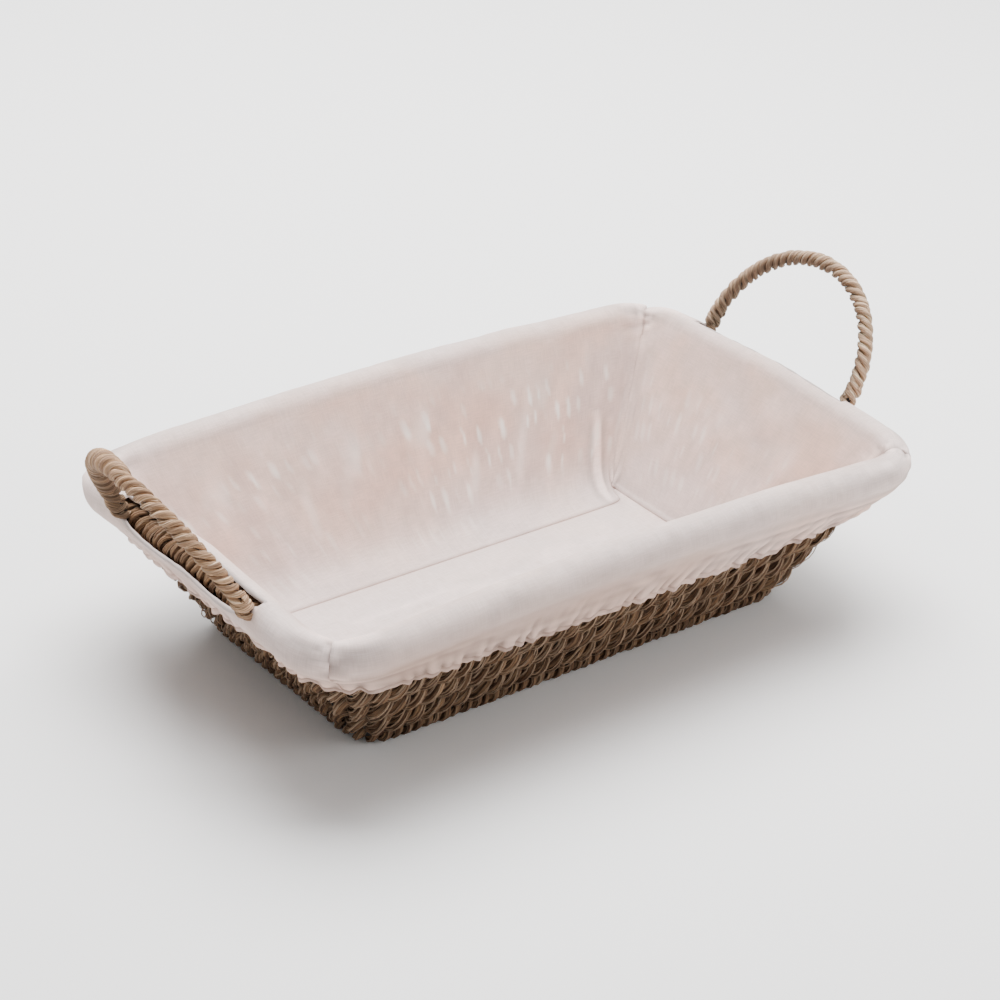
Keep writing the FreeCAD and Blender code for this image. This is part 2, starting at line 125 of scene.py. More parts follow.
class StudioSettings(bpy.types.PropertyGroup):
    azimuth: bpy.props.FloatProperty(
        name="Azimuth", description="Where the camera stands round the basket",
        default=math.radians(-38.925), subtype="ANGLE",
    )
    elevation: bpy.props.FloatProperty(
        name="Elevation", description="How far the camera looks down",
        default=math.radians(28.85), subtype="ANGLE",
    )
    roll: bpy.props.FloatProperty(
        name="Roll", description="How far the camera leans over", default=0.054, subtype="ANGLE"
    )
    distance: length("Distance", "From the camera to the point that it looks at", 1.43758)
    target: bpy.props.FloatVectorProperty(
        name="Target", description="The point that the camera looks at",
        default=(0.00923, 0.00946, 0.05529), unit="LENGTH", size=3, precision=4,
    )
    focal: bpy.props.FloatProperty(name="Lens", description="Focal length in mm", default=101.39)
    shift: bpy.props.FloatVectorProperty(
        name="Shift", description="Shift of the picture", default=(-0.0074, 0.0023), size=2, precision=4
    )
    key_power: share("Key light", "Power of the large light overhead, in watts", 98.0)
    fill_power: share("Fill light", "Power of the small light at the right front, in watts", 9.0)
    sky: share("Surroundings", "Strength of the light from all round", 0.5)
    floor: colour("Floor", "Colour of the floor", (0.93, 0.925, 0.92))


# ------------------------------------------------------------------ measures read from the frame
def points_of(node):
    """The corners of a node's mesh."""
    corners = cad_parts[node].data.vertices
    places = np.empty(len(corners) * 3)
    corners.foreach_get("co", places)
    return places.reshape(-1, 3)


class Outline:
    """A level rounded rectangle about the Z axis."""

    def __init__(self, half_length, half_width, corner, level):
        self.half_length = half_length
        self.half_width = half_width
        self.corner = corner
        self.level = level

    def grown(self, offset, level=None):
        """The same outline with every side moved out by an offset."""
        height = self.level if level is None else level
        return Outline(self.half_length + offset, self.half_width + offset, self.corner + offset, height)

    def perimeter(self):
        """Length all the way round."""
        straight = self.half_length + self.half_width - 2 * self.corner
        return 4 * straight + TURN * self.corner


def outline_of(node):
    """The outermost outline of a node, at the middle of its height."""
    places = points_of(node)
    half_length, half_width = places[:, 0].max(), places[:, 1].max()
    diagonal = ((places[:, 0] + places[:, 1]) / math.sqrt(2)).max()
    corner = ((half_length + half_width) / math.sqrt(2) - diagonal) / (math.sqrt(2) - 1)
    return Outline(half_length, half_width, corner, (places[:, 2].min() + places[:, 2].max()) / 2)


def wall_lean():
    """How far the woven wall leans out for each metre of height, at the ends and at the sides."""
    first, last = outline_of(ROW_NODES[0]), outline_of(ROW_NODES[-1])
    rise = last.level - first.level
    return (last.half_length - first.half_length) / rise, (last.half_width - first.half_width) / rise


def tube_outline(node):
    """The middle line and the radius of a ring-shaped tube."""
    low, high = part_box(node)
    radius = (high.z - low.z) / 2
    return outline_of(node).grown(-radius), radius


def round_outline(outline, spacing=6 * MM):
    """Points round an outline, counter-clockwise from above, and the heading of each one's outside."""
    places, headings = [], []
    for quarter in range(4):
        start = quarter * math.pi / 2
        side_x = 1 if quarter in (0, 3) else -1
        side_y = 1 if quarter in (0, 1) else -1
        centre_x = side_x * (outline.half_length - outline.corner)
        centre_y = side_y * (outline.half_width - outline.corner)
        for angle in np.linspace(start, start + math.pi / 2, CORNER_POINTS):
            headings.append(angle)
            places.append((centre_x + outline.corner * math.cos(angle),
                           centre_y + outline.corner * math.sin(angle)))
        straight = outline.half_width if quarter % 2 else outline.half_length
        run = 2 * (straight - outline.corner)
        steps = max(2, round(run / spacing))
        along = (-math.sin(start + math.pi / 2), math.cos(start + math.pi / 2))
        x, y = places[-1]
        for step in range(1, steps):
            headings.append(start + math.pi / 2)
            places.append((x + along[0] * run * step / steps, y + along[1] * run * step / steps))
    return np.array(places), np.array(headings)


def corner_fall(x, y, settings):
    """How far the rim falls near its corners."""
    rim = tube_outline("rim_wire")[0]
    off = np.hypot(rim.half_length - np.abs(x), rim.half_width - np.abs(y))
    return settings.corner_dip * np.exp(-0.5 * (off / settings.dip_reach) ** 2)


# ------------------------------------------------------------------ node tools
def place(tree, kind, inputs=None, **settings):
    """Add a node, set it up, and fill or link its inputs."""
    made = tree.nodes.new(kind)
    for name, value in settings.items():
        setattr(made, name, value)
    for key, value in (inputs or {}).items():
        if isinstance(value, bpy.types.NodeSocket):
            tree.links.new(value, made.inputs[key])
        else:
            made.inputs[key].default_value = value
    return made


def clouds(tree, spot, scale, detail=2.0, seed=None, **inputs):
    """Noise at a place. A seed gives noise of its own."""
    inputs = {"Vector": spot, "Scale": scale, "Detail": detail, **inputs}
    if seed is None:
        return place(tree, "ShaderNodeTexNoise", inputs).outputs
    return place(tree, "ShaderNodeTexNoise", {**inputs, "W": seed}, noise_dimensions="4D").outputs


def maths(tree, operation, *values):
    """The result of a Math node."""
    return place(tree, "ShaderNodeMath", dict(enumerate(values)), operation=operation).outputs[0]


def vectors(tree, operation, *values):
    """The result of a Vector Math node on one or two vectors."""
    return place(tree, "ShaderNodeVectorMath", dict(enumerate(values)), operation=operation).outputs[0]


def scaled(tree, vector, factor):
    """A vector times a number."""
    made = place(tree, "ShaderNodeVectorMath", {0: vector, "Scale": factor}, operation="SCALE")
    return made.outputs[0]


def smooth_step(tree, value, low, high):
    """0 below low, 1 above high and a smooth ramp between."""
    made = place(tree, "ShaderNodeMapRange", {"Value": value, "From Min": low, "From Max": high})
    made.interpolation_type = "SMOOTHSTEP"
    return made.outputs[0]


def new_tree(name, kind, inputs, outputs):
    """A node group with named sockets, and its two end nodes."""
    tree = bpy.data.node_groups.new(name, kind)
    for side, sockets in (("INPUT", inputs), ("OUTPUT", outputs)):
        for socket, (socket_kind, default) in sockets.items():
            made = tree.interface.new_socket(name=socket, in_out=side, socket_type="NodeSocket" + socket_kind)
            if default is not None:
                made.default_value = default
    return tree, tree.nodes.new("NodeGroupInput").outputs, tree.nodes.new("NodeGroupOutput").inputs


# ------------------------------------------------------------------ geometry nodes: strands and stitches
STRAND_INPUTS = {
    "Guide": ("Geometry", None),
    "Step": ("Float", 1.4 * MM),
    "Strands": ("Int", 2),
    "Strips": ("Int", 3),
    "Turns": ("Int", 10),
    "Strip turns": ("Int", 0),
    "Phase": ("Float", 0.0),
    "Reach out": ("Float", 3 * MM),
    "Reach up": ("Float", 3 * MM),
    "Strip reach": ("Float", 1.5 * MM),
    "Half width": ("Float", 2 * MM),
    "Half thickness": ("Float", 1 * MM),
    "Tilt": ("Float", 0.0),
    "Swell": ("Float", 0.0),
    "Unevenness": ("Float", 0.5 * MM),
    "Seed": ("Float", 1.0),
    "Section points": ("Int", 8),
    "Material": ("Material", None),
}
STITCH_INPUTS = {
    "Guide": ("Geometry", None),
    "Pitch": ("Float", 3 * MM),
    "Radius": ("Float", 0.3 * MM),
    "Material": ("Material", None),
}
STITCH_HALF_LENGTH = 0.36


def read_mark(tree, name, kind="FLOAT"):
    """A named attribute of the geometry."""
    return place(tree, "GeometryNodeInputNamedAttribute", {"Name": name}, data_type=kind).outputs[0]


def keep_mark(tree, geometry, name, value):
    """Geometry with a value kept as a named attribute."""
    return place(tree, "GeometryNodeStoreNamedAttribute",
                 {"Geometry": geometry, "Name": name, "Value": value}).outputs[0]


def finish_tree(tree, given, result, geometry):
    """End a tree: real mesh in place of copies, smooth faces and the finish."""
    mesh = place(tree, "GeometryNodeRealizeInstances", {"Geometry": geometry}).outputs[0]
    mesh = place(tree, "GeometryNodeSetShadeSmooth", {"Geometry": mesh}).outputs[0]
    mesh = place(tree, "GeometryNodeSetMaterial",
                 {"Geometry": mesh, "Material": given["Material"]}).outputs[0]
    tree.links.new(mesh, result["Mesh"])
    return tree


def strand_copies(tree, given):
    """A copy of each guide line for every strip, with the number of each copy."""
    line = place(tree, "GeometryNodeMeshToCurve", {"Mesh": given["Guide"]}).outputs[0]
    line = place(tree, "GeometryNodeResampleCurve", {"Curve": line, "Length": given["Step"]}, mode="LENGTH")
    count = maths(tree, "MULTIPLY", given["Strands"], given["Strips"])
    copies = place(tree, "GeometryNodeDuplicateElements", {"Geometry": line.outputs[0], "Amount": count},
                   domain="SPLINE").outputs
    return copies["Geometry"], copies["Duplicate Index"]


def strand_angles(tree, given, number, factor, spot):
    """Cosine and sine of the angle of the strand round the guide, and of the strip round the strand."""
    strip = maths(tree, "MODULO", number, given["Strips"])
    strand = maths(tree, "FLOOR", maths(tree, "DIVIDE", number, given["Strips"]))
    drift = clouds(tree, spot, 55.0, 1.0, seed=given["Seed"])[0]
    swing = maths(tree, "MULTIPLY", maths(tree, "SUBTRACT", drift, 0.5), 3.8)
    share_of_turn = maths(tree, "ADD", maths(tree, "DIVIDE", strand, given["Strands"]), given["Phase"])
    turned = maths(tree, "MULTIPLY_ADD", factor, given["Turns"], share_of_turn)
    angle = maths(tree, "MULTIPLY_ADD", turned, TURN, swing)
    strip_share = maths(tree, "DIVIDE", strip, given["Strips"])
    strip_turned = maths(tree, "MULTIPLY_ADD", factor, given["Strip turns"], strip_share)
    strip_angle = maths(tree, "MULTIPLY", strip_turned, TURN)
    return [maths(tree, way, turn) for turn in (angle, strip_angle) for way in ("COSINE", "SINE")]


def strip_section(tree, given, factor):
    """A strip's section: a flat oval, with its place across the strip kept as a mark."""
    section = place(tree, "GeometryNodeCurvePrimitiveCircle",
                    {"Resolution": given["Section points"], "Radius": 1.0}).outputs[0]
    across = maths(tree, "SINE", maths(tree, "MULTIPLY", factor, TURN))
    section = keep_mark(tree, section, "across", across)
    oval = place(tree, "ShaderNodeCombineXYZ", {0: given["Half thickness"], 1: given["Half width"], 2: 1.0})
    return place(tree, "GeometryNodeTransform", {"Geometry": section, "Scale": oval.outputs[0]}).outputs[0]


def strand_tree():
    """Strands that turn round a guide line, each made of flat strips that turn round the strand."""
    tree, given, result = new_tree("seagrass_strands", "GeometryNodeTree", STRAND_INPUTS,
                                   {"Mesh": ("Geometry", None)})
    curve, number = strand_copies(tree, given)
    spline = tree.nodes.new("GeometryNodeSplineParameter").outputs
    spot = tree.nodes.new("GeometryNodeInputPosition").outputs[0]
    own = maths(tree, "MULTIPLY_ADD", number, 3.7, given["Seed"])
    cosine, sine, strip_cosine, strip_sine = strand_angles(tree, given, number, spline["Factor"], spot)

    outside = vectors(tree, "NORMALIZE", read_mark(tree, "outside", "FLOAT_VECTOR"))
    tangent = tree.nodes.new("GeometryNodeInputTangent").outputs[0]
    upward = vectors(tree, "NORMALIZE", vectors(tree, "CROSS_PRODUCT", outside, tangent))
    radial = vectors(tree, "ADD", scaled(tree, outside, cosine), scaled(tree, upward, sine))
    sideways = vectors(tree, "SUBTRACT", scaled(tree, upward, cosine), scaled(tree, outside, sine))
    facing = vectors(tree, "ADD", scaled(tree, radial, strip_cosine), scaled(tree, sideways, strip_sine))

    girth = read_mark(tree, "girth")
    fullness = maths(tree, "MULTIPLY", girth, maths(tree, "MULTIPLY_ADD", cosine, given["Swell"], 1.0))
    strand_offset = vectors(
        tree, "ADD",
        scaled(tree, outside, maths(tree, "MULTIPLY", cosine, given["Reach out"])),
        scaled(tree, upward, maths(tree, "MULTIPLY", sine, given["Reach up"])),
    )
    strip_offset = scaled(tree, facing, maths(tree, "MULTIPLY", fullness, given["Strip reach"]))
    offset = vectors(tree, "ADD", scaled(tree, strand_offset, girth), strip_offset)
    rough = clouds(tree, spot, 130.0, 2.0, seed=own)["Color"]
    stray = scaled(tree, vectors(tree, "SUBTRACT", rough, (0.5, 0.5, 0.5)),
                   maths(tree, "MULTIPLY", given["Unevenness"], 2.0))
    offset = vectors(tree, "ADD", offset, stray)

    # The lift and outward marks feed the leaf finish's painted crease shade.
    marks = {
        "along": spline["Length"],
        "strand": own,
        "lift": vectors(tree, "DOT_PRODUCT", facing, outside).node.outputs["Value"],
        "outward": cosine,
        "fullness": fullness,
    }
    for name, value in marks.items():
        curve = keep_mark(tree, curve, name, value)
    tilted = vectors(tree, "NORMALIZE", vectors(tree, "ADD", facing, scaled(tree, tangent, given["Tilt"])))
    curve = place(tree, "GeometryNodeSetCurveNormal", {"Curve": curve, "Normal": tilted},
                  mode="FREE").outputs[0]
    curve = place(tree, "GeometryNodeSetPosition", {"Geometry": curve, "Offset": offset}).outputs[0]

    swell = clouds(tree, spot, 90.0, 1.0, seed=own)[0]
    uneven = maths(tree, "MULTIPLY_ADD", maths(tree, "SUBTRACT", swell, 0.5), 1.3, 1.0)
    mesh = place(tree, "GeometryNodeCurveToMesh", {
        "Curve": curve,
        "Profile Curve": strip_section(tree, given, spline["Factor"]),
        "Scale": maths(tree, "MULTIPLY", uneven, read_mark(tree, "fullness")),
        "Fill Caps": True,
    }).outputs[0]
    return finish_tree(tree, given, result, mesh)


def stitch_tree():
    """Short rounded stitches laid end to end along a guide line."""
    tree, given, result = new_tree("stitch_line", "GeometryNodeTree", STITCH_INPUTS,
                                   {"Mesh": ("Geometry", None)})
    line = place(tree, "GeometryNodeMeshToCurve", {"Mesh": given["Guide"]}).outputs[0]
    spaced = place(tree, "GeometryNodeCurveToPoints", {"Curve": line, "Length": given["Pitch"]},
                   mode="LENGTH").outputs
    stitch = place(tree, "GeometryNodeMeshIcoSphere", {"Radius": 1.0, "Subdivisions": 2}).outputs[0]
    long_way = maths(tree, "MULTIPLY", given["Pitch"], STITCH_HALF_LENGTH)
    shape = place(tree, "ShaderNodeCombineXYZ", {0: given["Radius"], 1: given["Radius"], 2: long_way})
    stitch = place(tree, "GeometryNodeTransform",
                   {"Geometry": stitch, "Scale": shape.outputs[0]}).outputs[0]
    laid = place(tree, "GeometryNodeInstanceOnPoints", {
        "Points": spaced["Points"], "Instance": stitch, "Rotation": spaced["Rotation"],
    }).outputs[0]
    return finish_tree(tree, given, result, laid)


def shared_tree(name, build):
    """A node group made once and used again."""
    return bpy.data.node_groups.get(name) or build()


def guide_object(name, lines, girth=None):
    """Guide lines as one mesh. Each line has its points, their outside directions and whether it closes.

    Girth is the thickness at each point of all the lines, as a share of the full one.
    """
    places, outside, edges = [], [], []
    for line_places, line_outside, closed in lines:
        first = len(places)
        places += [tuple(spot) for spot in line_places]
        outside += [tuple(direction) for direction in line_outside]
        count = len(line_places)
        edges += [(first + step, first + step + 1) for step in range(count - 1)]
        if closed:
            edges.append((first + count - 1, first))
    mesh = bpy.data.meshes.new(name)
    mesh.from_pydata(places, edges, [])
    marks = mesh.attributes.new("outside", "FLOAT_VECTOR", "POINT")
    marks.data.foreach_set("vector", np.array(outside, np.float32).ravel())
    thick = np.ones(len(places)) if girth is None else girth
    marks = mesh.attributes.new("girth", "FLOAT", "POINT")
    marks.data.foreach_set("value", np.array(thick, np.float32))
    thing = bpy.data.objects.new(name, mesh)
    bpy.context.scene.collection.objects.link(thing)
    return thing


def grow(thing, tree, **inputs):
    """Run a geometry node tree on an object and keep its result as a plain mesh."""
    modifier = thing.modifiers.new(tree.name, "NODES")
    modifier.node_group = tree
    named = {key.replace("_", " ").capitalize(): value for key, value in inputs.items()}
    for item in tree.interface.items_tree:
        if item.in_out == "INPUT" and item.name in named:
            modifier[item.identifier] = named[item.name]
    graph = bpy.context.evaluated_depsgraph_get()
    mesh = bpy.data.meshes.new_from_object(
        thing.evaluated_get(graph), preserve_all_data_layers=True, depsgraph=graph
    )
    thing.modifiers.remove(modifier)
    guide = thing.data
    thing.data = mesh
    mesh.name = thing.name
    bpy.data.meshes.remove(guide)
    return thing


def strands(name, lines, girth=None, **inputs):
    """Strands that follow guide lines."""
    return grow(guide_object(name, lines, girth), shared_tree("seagrass_strands", strand_tree), **inputs)


def stitches(name, lines, **inputs):
    """Stitches that follow guide lines."""
    return grow(guide_object(name, lines), shared_tree("stitch_line", stitch_tree), **inputs)


def settle(thing, nodes=()):
    """Fix a finished piece to the basket and hide the nodes that it stands for."""
    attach(thing, BODY)
    if nodes:
        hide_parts(*nodes)
    return thing


# ------------------------------------------------------------------ finishes
THREAD_PITCH = 0.55 * MM
SLUB_LENGTH = 14.0
COOL_COTTON = (0.76, 0.66, 0.665, 1.0)
SLUB_SHADOW = (0.42, 0.30, 0.25, 1.0)
LIT_COTTON = (1.0, 0.93, 0.87, 1.0)
LEAF_GREY = (0.32, 0.215, 0.14)
# The wall, border and base leaf is drawn at this share of full colour: partly the leaf's own darker tone,
# partly painted shade, as the wall faces away from the light.
WALL_TONE_AND_SHADE = 0.62


def painted(tree, name):
    """A mark that the mesh carries at each point."""
    return place(tree, "ShaderNodeAttribute", attribute_name=name).outputs["Fac"]


def own_place(tree):
    """Where a point lies on its own object."""
    return place(tree, "ShaderNodeTexCoord").outputs["Object"]


def shared_group(tree, name, build, inputs):
    """A shader node group placed in a material."""
    return place(tree, "ShaderNodeGroup", inputs, node_tree=shared_tree(name, build)).outputs


def blend(tree, factor, first, second, mode="MIX"):
    """Two colours mixed."""
    return place(tree, "ShaderNodeMix", {0: factor, 6: first, 7: second},
                 data_type="RGBA", blend_type=mode).outputs[2]


def toned(tree, colour_in, tone):
    """A colour times a number."""
    grey = place(tree, "ShaderNodeCombineColor", {0: tone, 1: tone, 2: tone}).outputs[0]
    return blend(tree, 1.0, colour_in, grey, "MULTIPLY")


def emboss(tree, shader, height, strength, depth):
    """Raise and sink a surface by its bump."""
    bump = place(tree, "ShaderNodeBump", {"Height": height, "Strength": strength, "Distance": depth})
    tree.links.new(bump.outputs[0], shader.inputs["Normal"])


def new_finish(name):
    """An empty material, its tree and its shader."""
    finish = bpy.data.materials.new(name)
    finish.use_nodes = True
    tree = finish.node_tree
    shader = next(node for node in tree.nodes if node.type == "BSDF_PRINCIPLED")
    return finish, tree, shader


def opaque(rgb, strength=1.0):
    """A colour with its alpha, made paler or darker."""
    return tuple(min(1.0, part * strength) for part in rgb) + (1.0,)


def fibre_group():
    """Marks of a dried leaf: streaks along it, blotches, pale edges, and painted shade where a strip faces in
    toward its creases.
    """
    tree, given, result = new_tree("leaf_fibre", "ShaderNodeTree", {
        "Streaks": ("Float", 5.0),
        "Streak length": ("Float", 0.02),
        "Blotch length": ("Float", 0.012),
    }, {name: ("Float", None) for name in ("Streak", "Blotch", "Edge", "Own tone", "Depth", "Height")})
    read = {name: painted(tree, name) for name in ("along", "across", "strand", "lift", "outward")}
    own = maths(tree, "MULTIPLY", read["strand"], 5.3)
    lengthways = maths(tree, "DIVIDE", read["along"], given["Streak length"])
    crosswise = maths(tree, "MULTIPLY", read["across"], given["Streaks"])
    spot = place(tree, "ShaderNodeCombineXYZ", {0: crosswise, 1: lengthways, 2: own}).outputs[0]
    streak = smooth_step(tree, clouds(tree, spot, 1.0, 3.0, Roughness=0.6)[0], 0.3, 0.7)
    blotch_way = maths(tree, "DIVIDE", read["along"], given["Blotch length"])
    spot = place(tree, "ShaderNodeCombineXYZ", {0: own, 1: blotch_way, 2: read["across"]}).outputs[0]
    blotch = clouds(tree, spot, 1.0)[0]
    edge = smooth_step(tree, maths(tree, "ABSOLUTE", read["across"]), 0.6, 0.95)
    tone = place(tree, "ShaderNodeTexWhiteNoise", {"W": read["strand"]}, noise_dimensions="1D").outputs[0]
    # Painted shade: darker where a strip faces in toward the strand's middle, where the creases lie in shade.
    depth = maths(tree, "MULTIPLY_ADD", read["lift"], 0.5, maths(tree, "MULTIPLY", read["outward"], 0.5))
    made = {
        "Streak": streak,
        "Blotch": smooth_step(tree, blotch, 0.32, 0.68),
        "Edge": maths(tree, "MULTIPLY", edge, smooth_step(tree, streak, 0.35, 0.8)),
        "Own tone": tone,
        "Depth": smooth_step(tree, depth, -0.7, 0.75),
        "Height": maths(tree, "MULTIPLY_ADD", blotch, 0.6, streak),
    }
    for name, value in made.items():
        tree.links.new(value, result[name])
    return tree


def seagrass_finish(name, strength, depth_shade=0.25, faded_and_backlit=0.0):
    """Dried seagrass leaf: streaked strips with pale torn edges and painted shade in the creases, paled
    toward the faded colour.
    """
    made = bpy.data.materials.get(name)
    if made:
        return made
    grass = bpy.context.scene.seagrass
    finish, tree, shader = new_finish(name)
    marks = shared_group(tree, "leaf_fibre", fibre_group, {"Streaks": 4.0})
    # Strength makes this copy of the leaf brighter or darker: the leaf's own tone, and painted light or shade
    # for a part that lies in light or in shade.
    body = blend(tree, marks["Blotch"], opaque(grass.middle, strength), opaque(grass.light, strength))
    greyed = blend(tree, maths(tree, "MULTIPLY", marks["Own tone"], 0.4), body, opaque(LEAF_GREY, strength))
    bleached = blend(tree, faded_and_backlit, greyed, opaque(grass.faded_and_backlit))
    darkness = 0.8 - 0.35 * faded_and_backlit
    streaked = blend(tree, maths(tree, "MULTIPLY_ADD", marks["Streak"], -darkness, darkness), bleached,
                     opaque(grass.dark, strength))
    edged = blend(tree, maths(tree, "MULTIPLY", marks["Edge"], 0.55), streaked,
                  opaque(grass.faded_and_backlit, strength))
    # Painted shade: the colour is darkened where a strip faces in, down to depth_shade at the deepest.
    shade = maths(tree, "MULTIPLY_ADD", marks["Depth"], 1 - depth_shade, depth_shade)
    tree.links.new(toned(tree, edged, shade), shader.inputs["Base Color"])
    shader.inputs["Specular IOR Level"].default_value = 0.2
    rough = maths(tree, "MULTIPLY_ADD", marks["Streak"], -0.2, 0.8)
    tree.links.new(rough, shader.inputs["Roughness"])
    emboss(tree, shader, marks["Height"], 0.9, 0.5 * MM)
    return finish


def weave_group():
    """Plain-weave cotton: threads both ways with slubs, and slow patches of tone."""
    tree, given, result = new_tree(
        "cotton_weave", "ShaderNodeTree", {"Thread": ("Float", THREAD_PITCH)},
        {name: ("Float", None) for name in ("Height", "Slub", "Patch", "Cool patch")},
    )
    flat = place(tree, "ShaderNodeUVMap", uv_map="cloth").outputs[0]
    apart = place(tree, "ShaderNodeSeparateXYZ", {0: flat}).outputs
    ridges, slubs = [], []
    for first, second in ((0, 1), (1, 0)):
        fine = maths(tree, "DIVIDE", apart[first], given["Thread"])
        slow = maths(tree, "DIVIDE", apart[second], maths(tree, "MULTIPLY", given["Thread"], SLUB_LENGTH))
        spot = place(tree, "ShaderNodeCombineXYZ", {0: fine, 1: slow, 2: 7.0 * first}).outputs[0]
        slubs.append(clouds(tree, spot, 1.0, 1.0)[0])
        ridges.append(maths(tree, "SINE", maths(tree, "MULTIPLY", fine, TURN)))
    woven = maths(tree, "MULTIPLY", ridges[0], ridges[1])
    slub = maths(tree, "MULTIPLY", maths(tree, "ADD", slubs[0], slubs[1]), 0.5)
    tree.links.new(maths(tree, "MULTIPLY_ADD", woven, 0.25, slub), result["Height"])
    tree.links.new(smooth_step(tree, slub, 0.35, 0.65), result["Slub"])
    spot = own_place(tree)
    for name, scale, seed in (("Patch", 16.0, 1.0), ("Cool patch", 26.0, 5.0)):
        patch = clouds(tree, spot, scale, 3.0, seed=seed)[0]
        tree.links.new(smooth_step(tree, patch, 0.38, 0.62), result[name])
    return tree


def cotton_finish():
    """Unbleached ivory cotton, with painted light and shade: pale streaks where light comes through the gaps
    in the weave, a tint for the weave behind and its bounced light, painted shade on the flap and in the
    folds, and painted highlights on their ridges.
    """
    made = bpy.data.materials.get("ivory_cotton")
    if made:
        return made
    liner = bpy.context.scene.liner
    finish, tree, shader = new_finish("ivory_cotton")
    marks = shared_group(tree, "cotton_weave", weave_group, {"Thread": THREAD_PITCH})
    # The tint of the brown weave showing through, and painted bounce light from the weave on the walls in
    # shade.
    body = blend(tree, painted(tree, "show_through_and_bounce"), opaque(liner.cotton), opaque(liner.show_through_and_bounce_cotton))
    patched = blend(tree, maths(tree, "MULTIPLY", marks["Patch"], 0.4), body, opaque(liner.cotton))
    cooled = blend(tree, maths(tree, "MULTIPLY", marks["Cool patch"], 0.3), patched, COOL_COTTON)
    # Painted shade on the flap, where it is in shade; the weave behind darkens it a little too.
    with_painted_shade = blend(tree, painted(tree, "shade"), cooled, opaque(liner.shaded))
    threaded = blend(tree, maths(tree, "MULTIPLY", marks["Slub"], 0.26), with_painted_shade, SLUB_SHADOW)
    # Painted light: pale streaks where light comes through the gaps in the weave.
    lit = blend(tree, painted(tree, "glow"), threaded, LIT_COTTON)
    # Painted shade in the hollows of the folds and painted highlights on their ridges, from the relief.
    tone = place(tree, "ShaderNodeMapRange",
                 {"Value": painted(tree, "relief"), "To Min": 0.62, "To Max": 1.24}).outputs[0]
    tree.links.new(toned(tree, lit, tone), shader.inputs["Base Color"])
    shader.inputs["Roughness"].default_value = 0.92
    shader.inputs["Specular IOR Level"].default_value = 0.15
    shader.inputs["Sheen Weight"].default_value = 0.04
    emboss(tree, shader, marks["Height"], 0.6, 0.3 * MM)
    return finish


def thread_finish():
    """Cotton sewing thread, a little darker than the cloth."""
    finish, tree, shader = new_finish("sewing_thread")
    tone = clouds(tree, own_place(tree), 900.0)[0]
    thread = bpy.context.scene.liner.thread
    tree.links.new(blend(tree, tone, opaque(thread, 0.85), opaque(thread, 1.1)), shader.inputs["Base Color"])
    shader.inputs["Roughness"].default_value = 0.8
    return finish


def wire_finish():
    """Drawn steel wire with a dull dark coat that has begun to rust."""
    finish, tree, shader = new_finish("dull_wire")
    rust = clouds(tree, own_place(tree), 120.0, 5.0)[0]
    worn = smooth_step(tree, rust, 0.52, 0.66)
    tree.links.new(blend(tree, worn, (0.035, 0.032, 0.03, 1), (0.13, 0.06, 0.032, 1)),
                   shader.inputs["Base Color"])
    tree.links.new(maths(tree, "MULTIPLY_ADD", worn, 0.35, 0.42), shader.inputs["Roughness"])
    tree.links.new(maths(tree, "MULTIPLY_ADD", worn, -0.6, 0.8), shader.inputs["Metallic"])
    emboss(tree, shader, rust, 0.4, 0.2 * MM)
    return finish


def elastic_finish():
    """White braided elastic cord."""
    finish, tree, shader = new_finish("braided_elastic")
    braid = place(tree, "ShaderNodeTexWave",
                  {"Vector": own_place(tree), "Scale": 400.0, "Distortion": 2.0},
                  bands_direction="DIAGONAL").outputs["Fac"]
    tree.links.new(blend(tree, braid, (0.55, 0.53, 0.50, 1), (0.8, 0.79, 0.77, 1)),
                   shader.inputs["Base Color"])
    shader.inputs["Roughness"].default_value = 0.7
    emboss(tree, shader, braid, 0.5, 0.1 * MM)
    return finish


def coat(thing, finish):
    """Give an object one finish."""
    thing.data.materials.clear()
    thing.data.materials.append(finish)


# ------------------------------------------------------------------ seagrass
def ring_guide(outline, lean=(0.0, 0.0), fall=None):
    """A closed guide round an outline. Its outside direction is square to a wall that leans out."""
    places, headings = round_outline(outline)
    slope = lean[0] * np.cos(headings) ** 2 + lean[1] * np.sin(headings) ** 2
    tilt = np.arctan(slope)
    levels = np.full(len(places), outline.level)
    if fall is not None:
        levels = levels - fall(places[:, 0], places[:, 1])
    spots = np.column_stack([places, levels])
    outside = np.column_stack([
        np.cos(headings) * np.cos(tilt), np.sin(headings) * np.cos(tilt), -np.sin(tilt)
    ])
    return spots, outside, True


def row_outline(node, thickness):
    """The middle line of a woven row, from its outermost outline."""
    places = points_of(node)
    outer = outline_of(node)
    lean = wall_lean()
    above = places[places[:, 0].argmax(), 2] - outer.level
    middle = outer.grown(-thickness / 2)
    return Outline(middle.half_length - lean[0] * above, middle.half_width - lean[1] * above,
                   middle.corner, outer.level)


def turns_of(outline, lay, sense=1, strip_share=0.6):
    """How often strands turn round an outline, and how often their strips turn round them."""
    turns = outline.perimeter() / lay
    return {"turns": round(turns), "strip_turns": sense * round(turns * strip_share)}


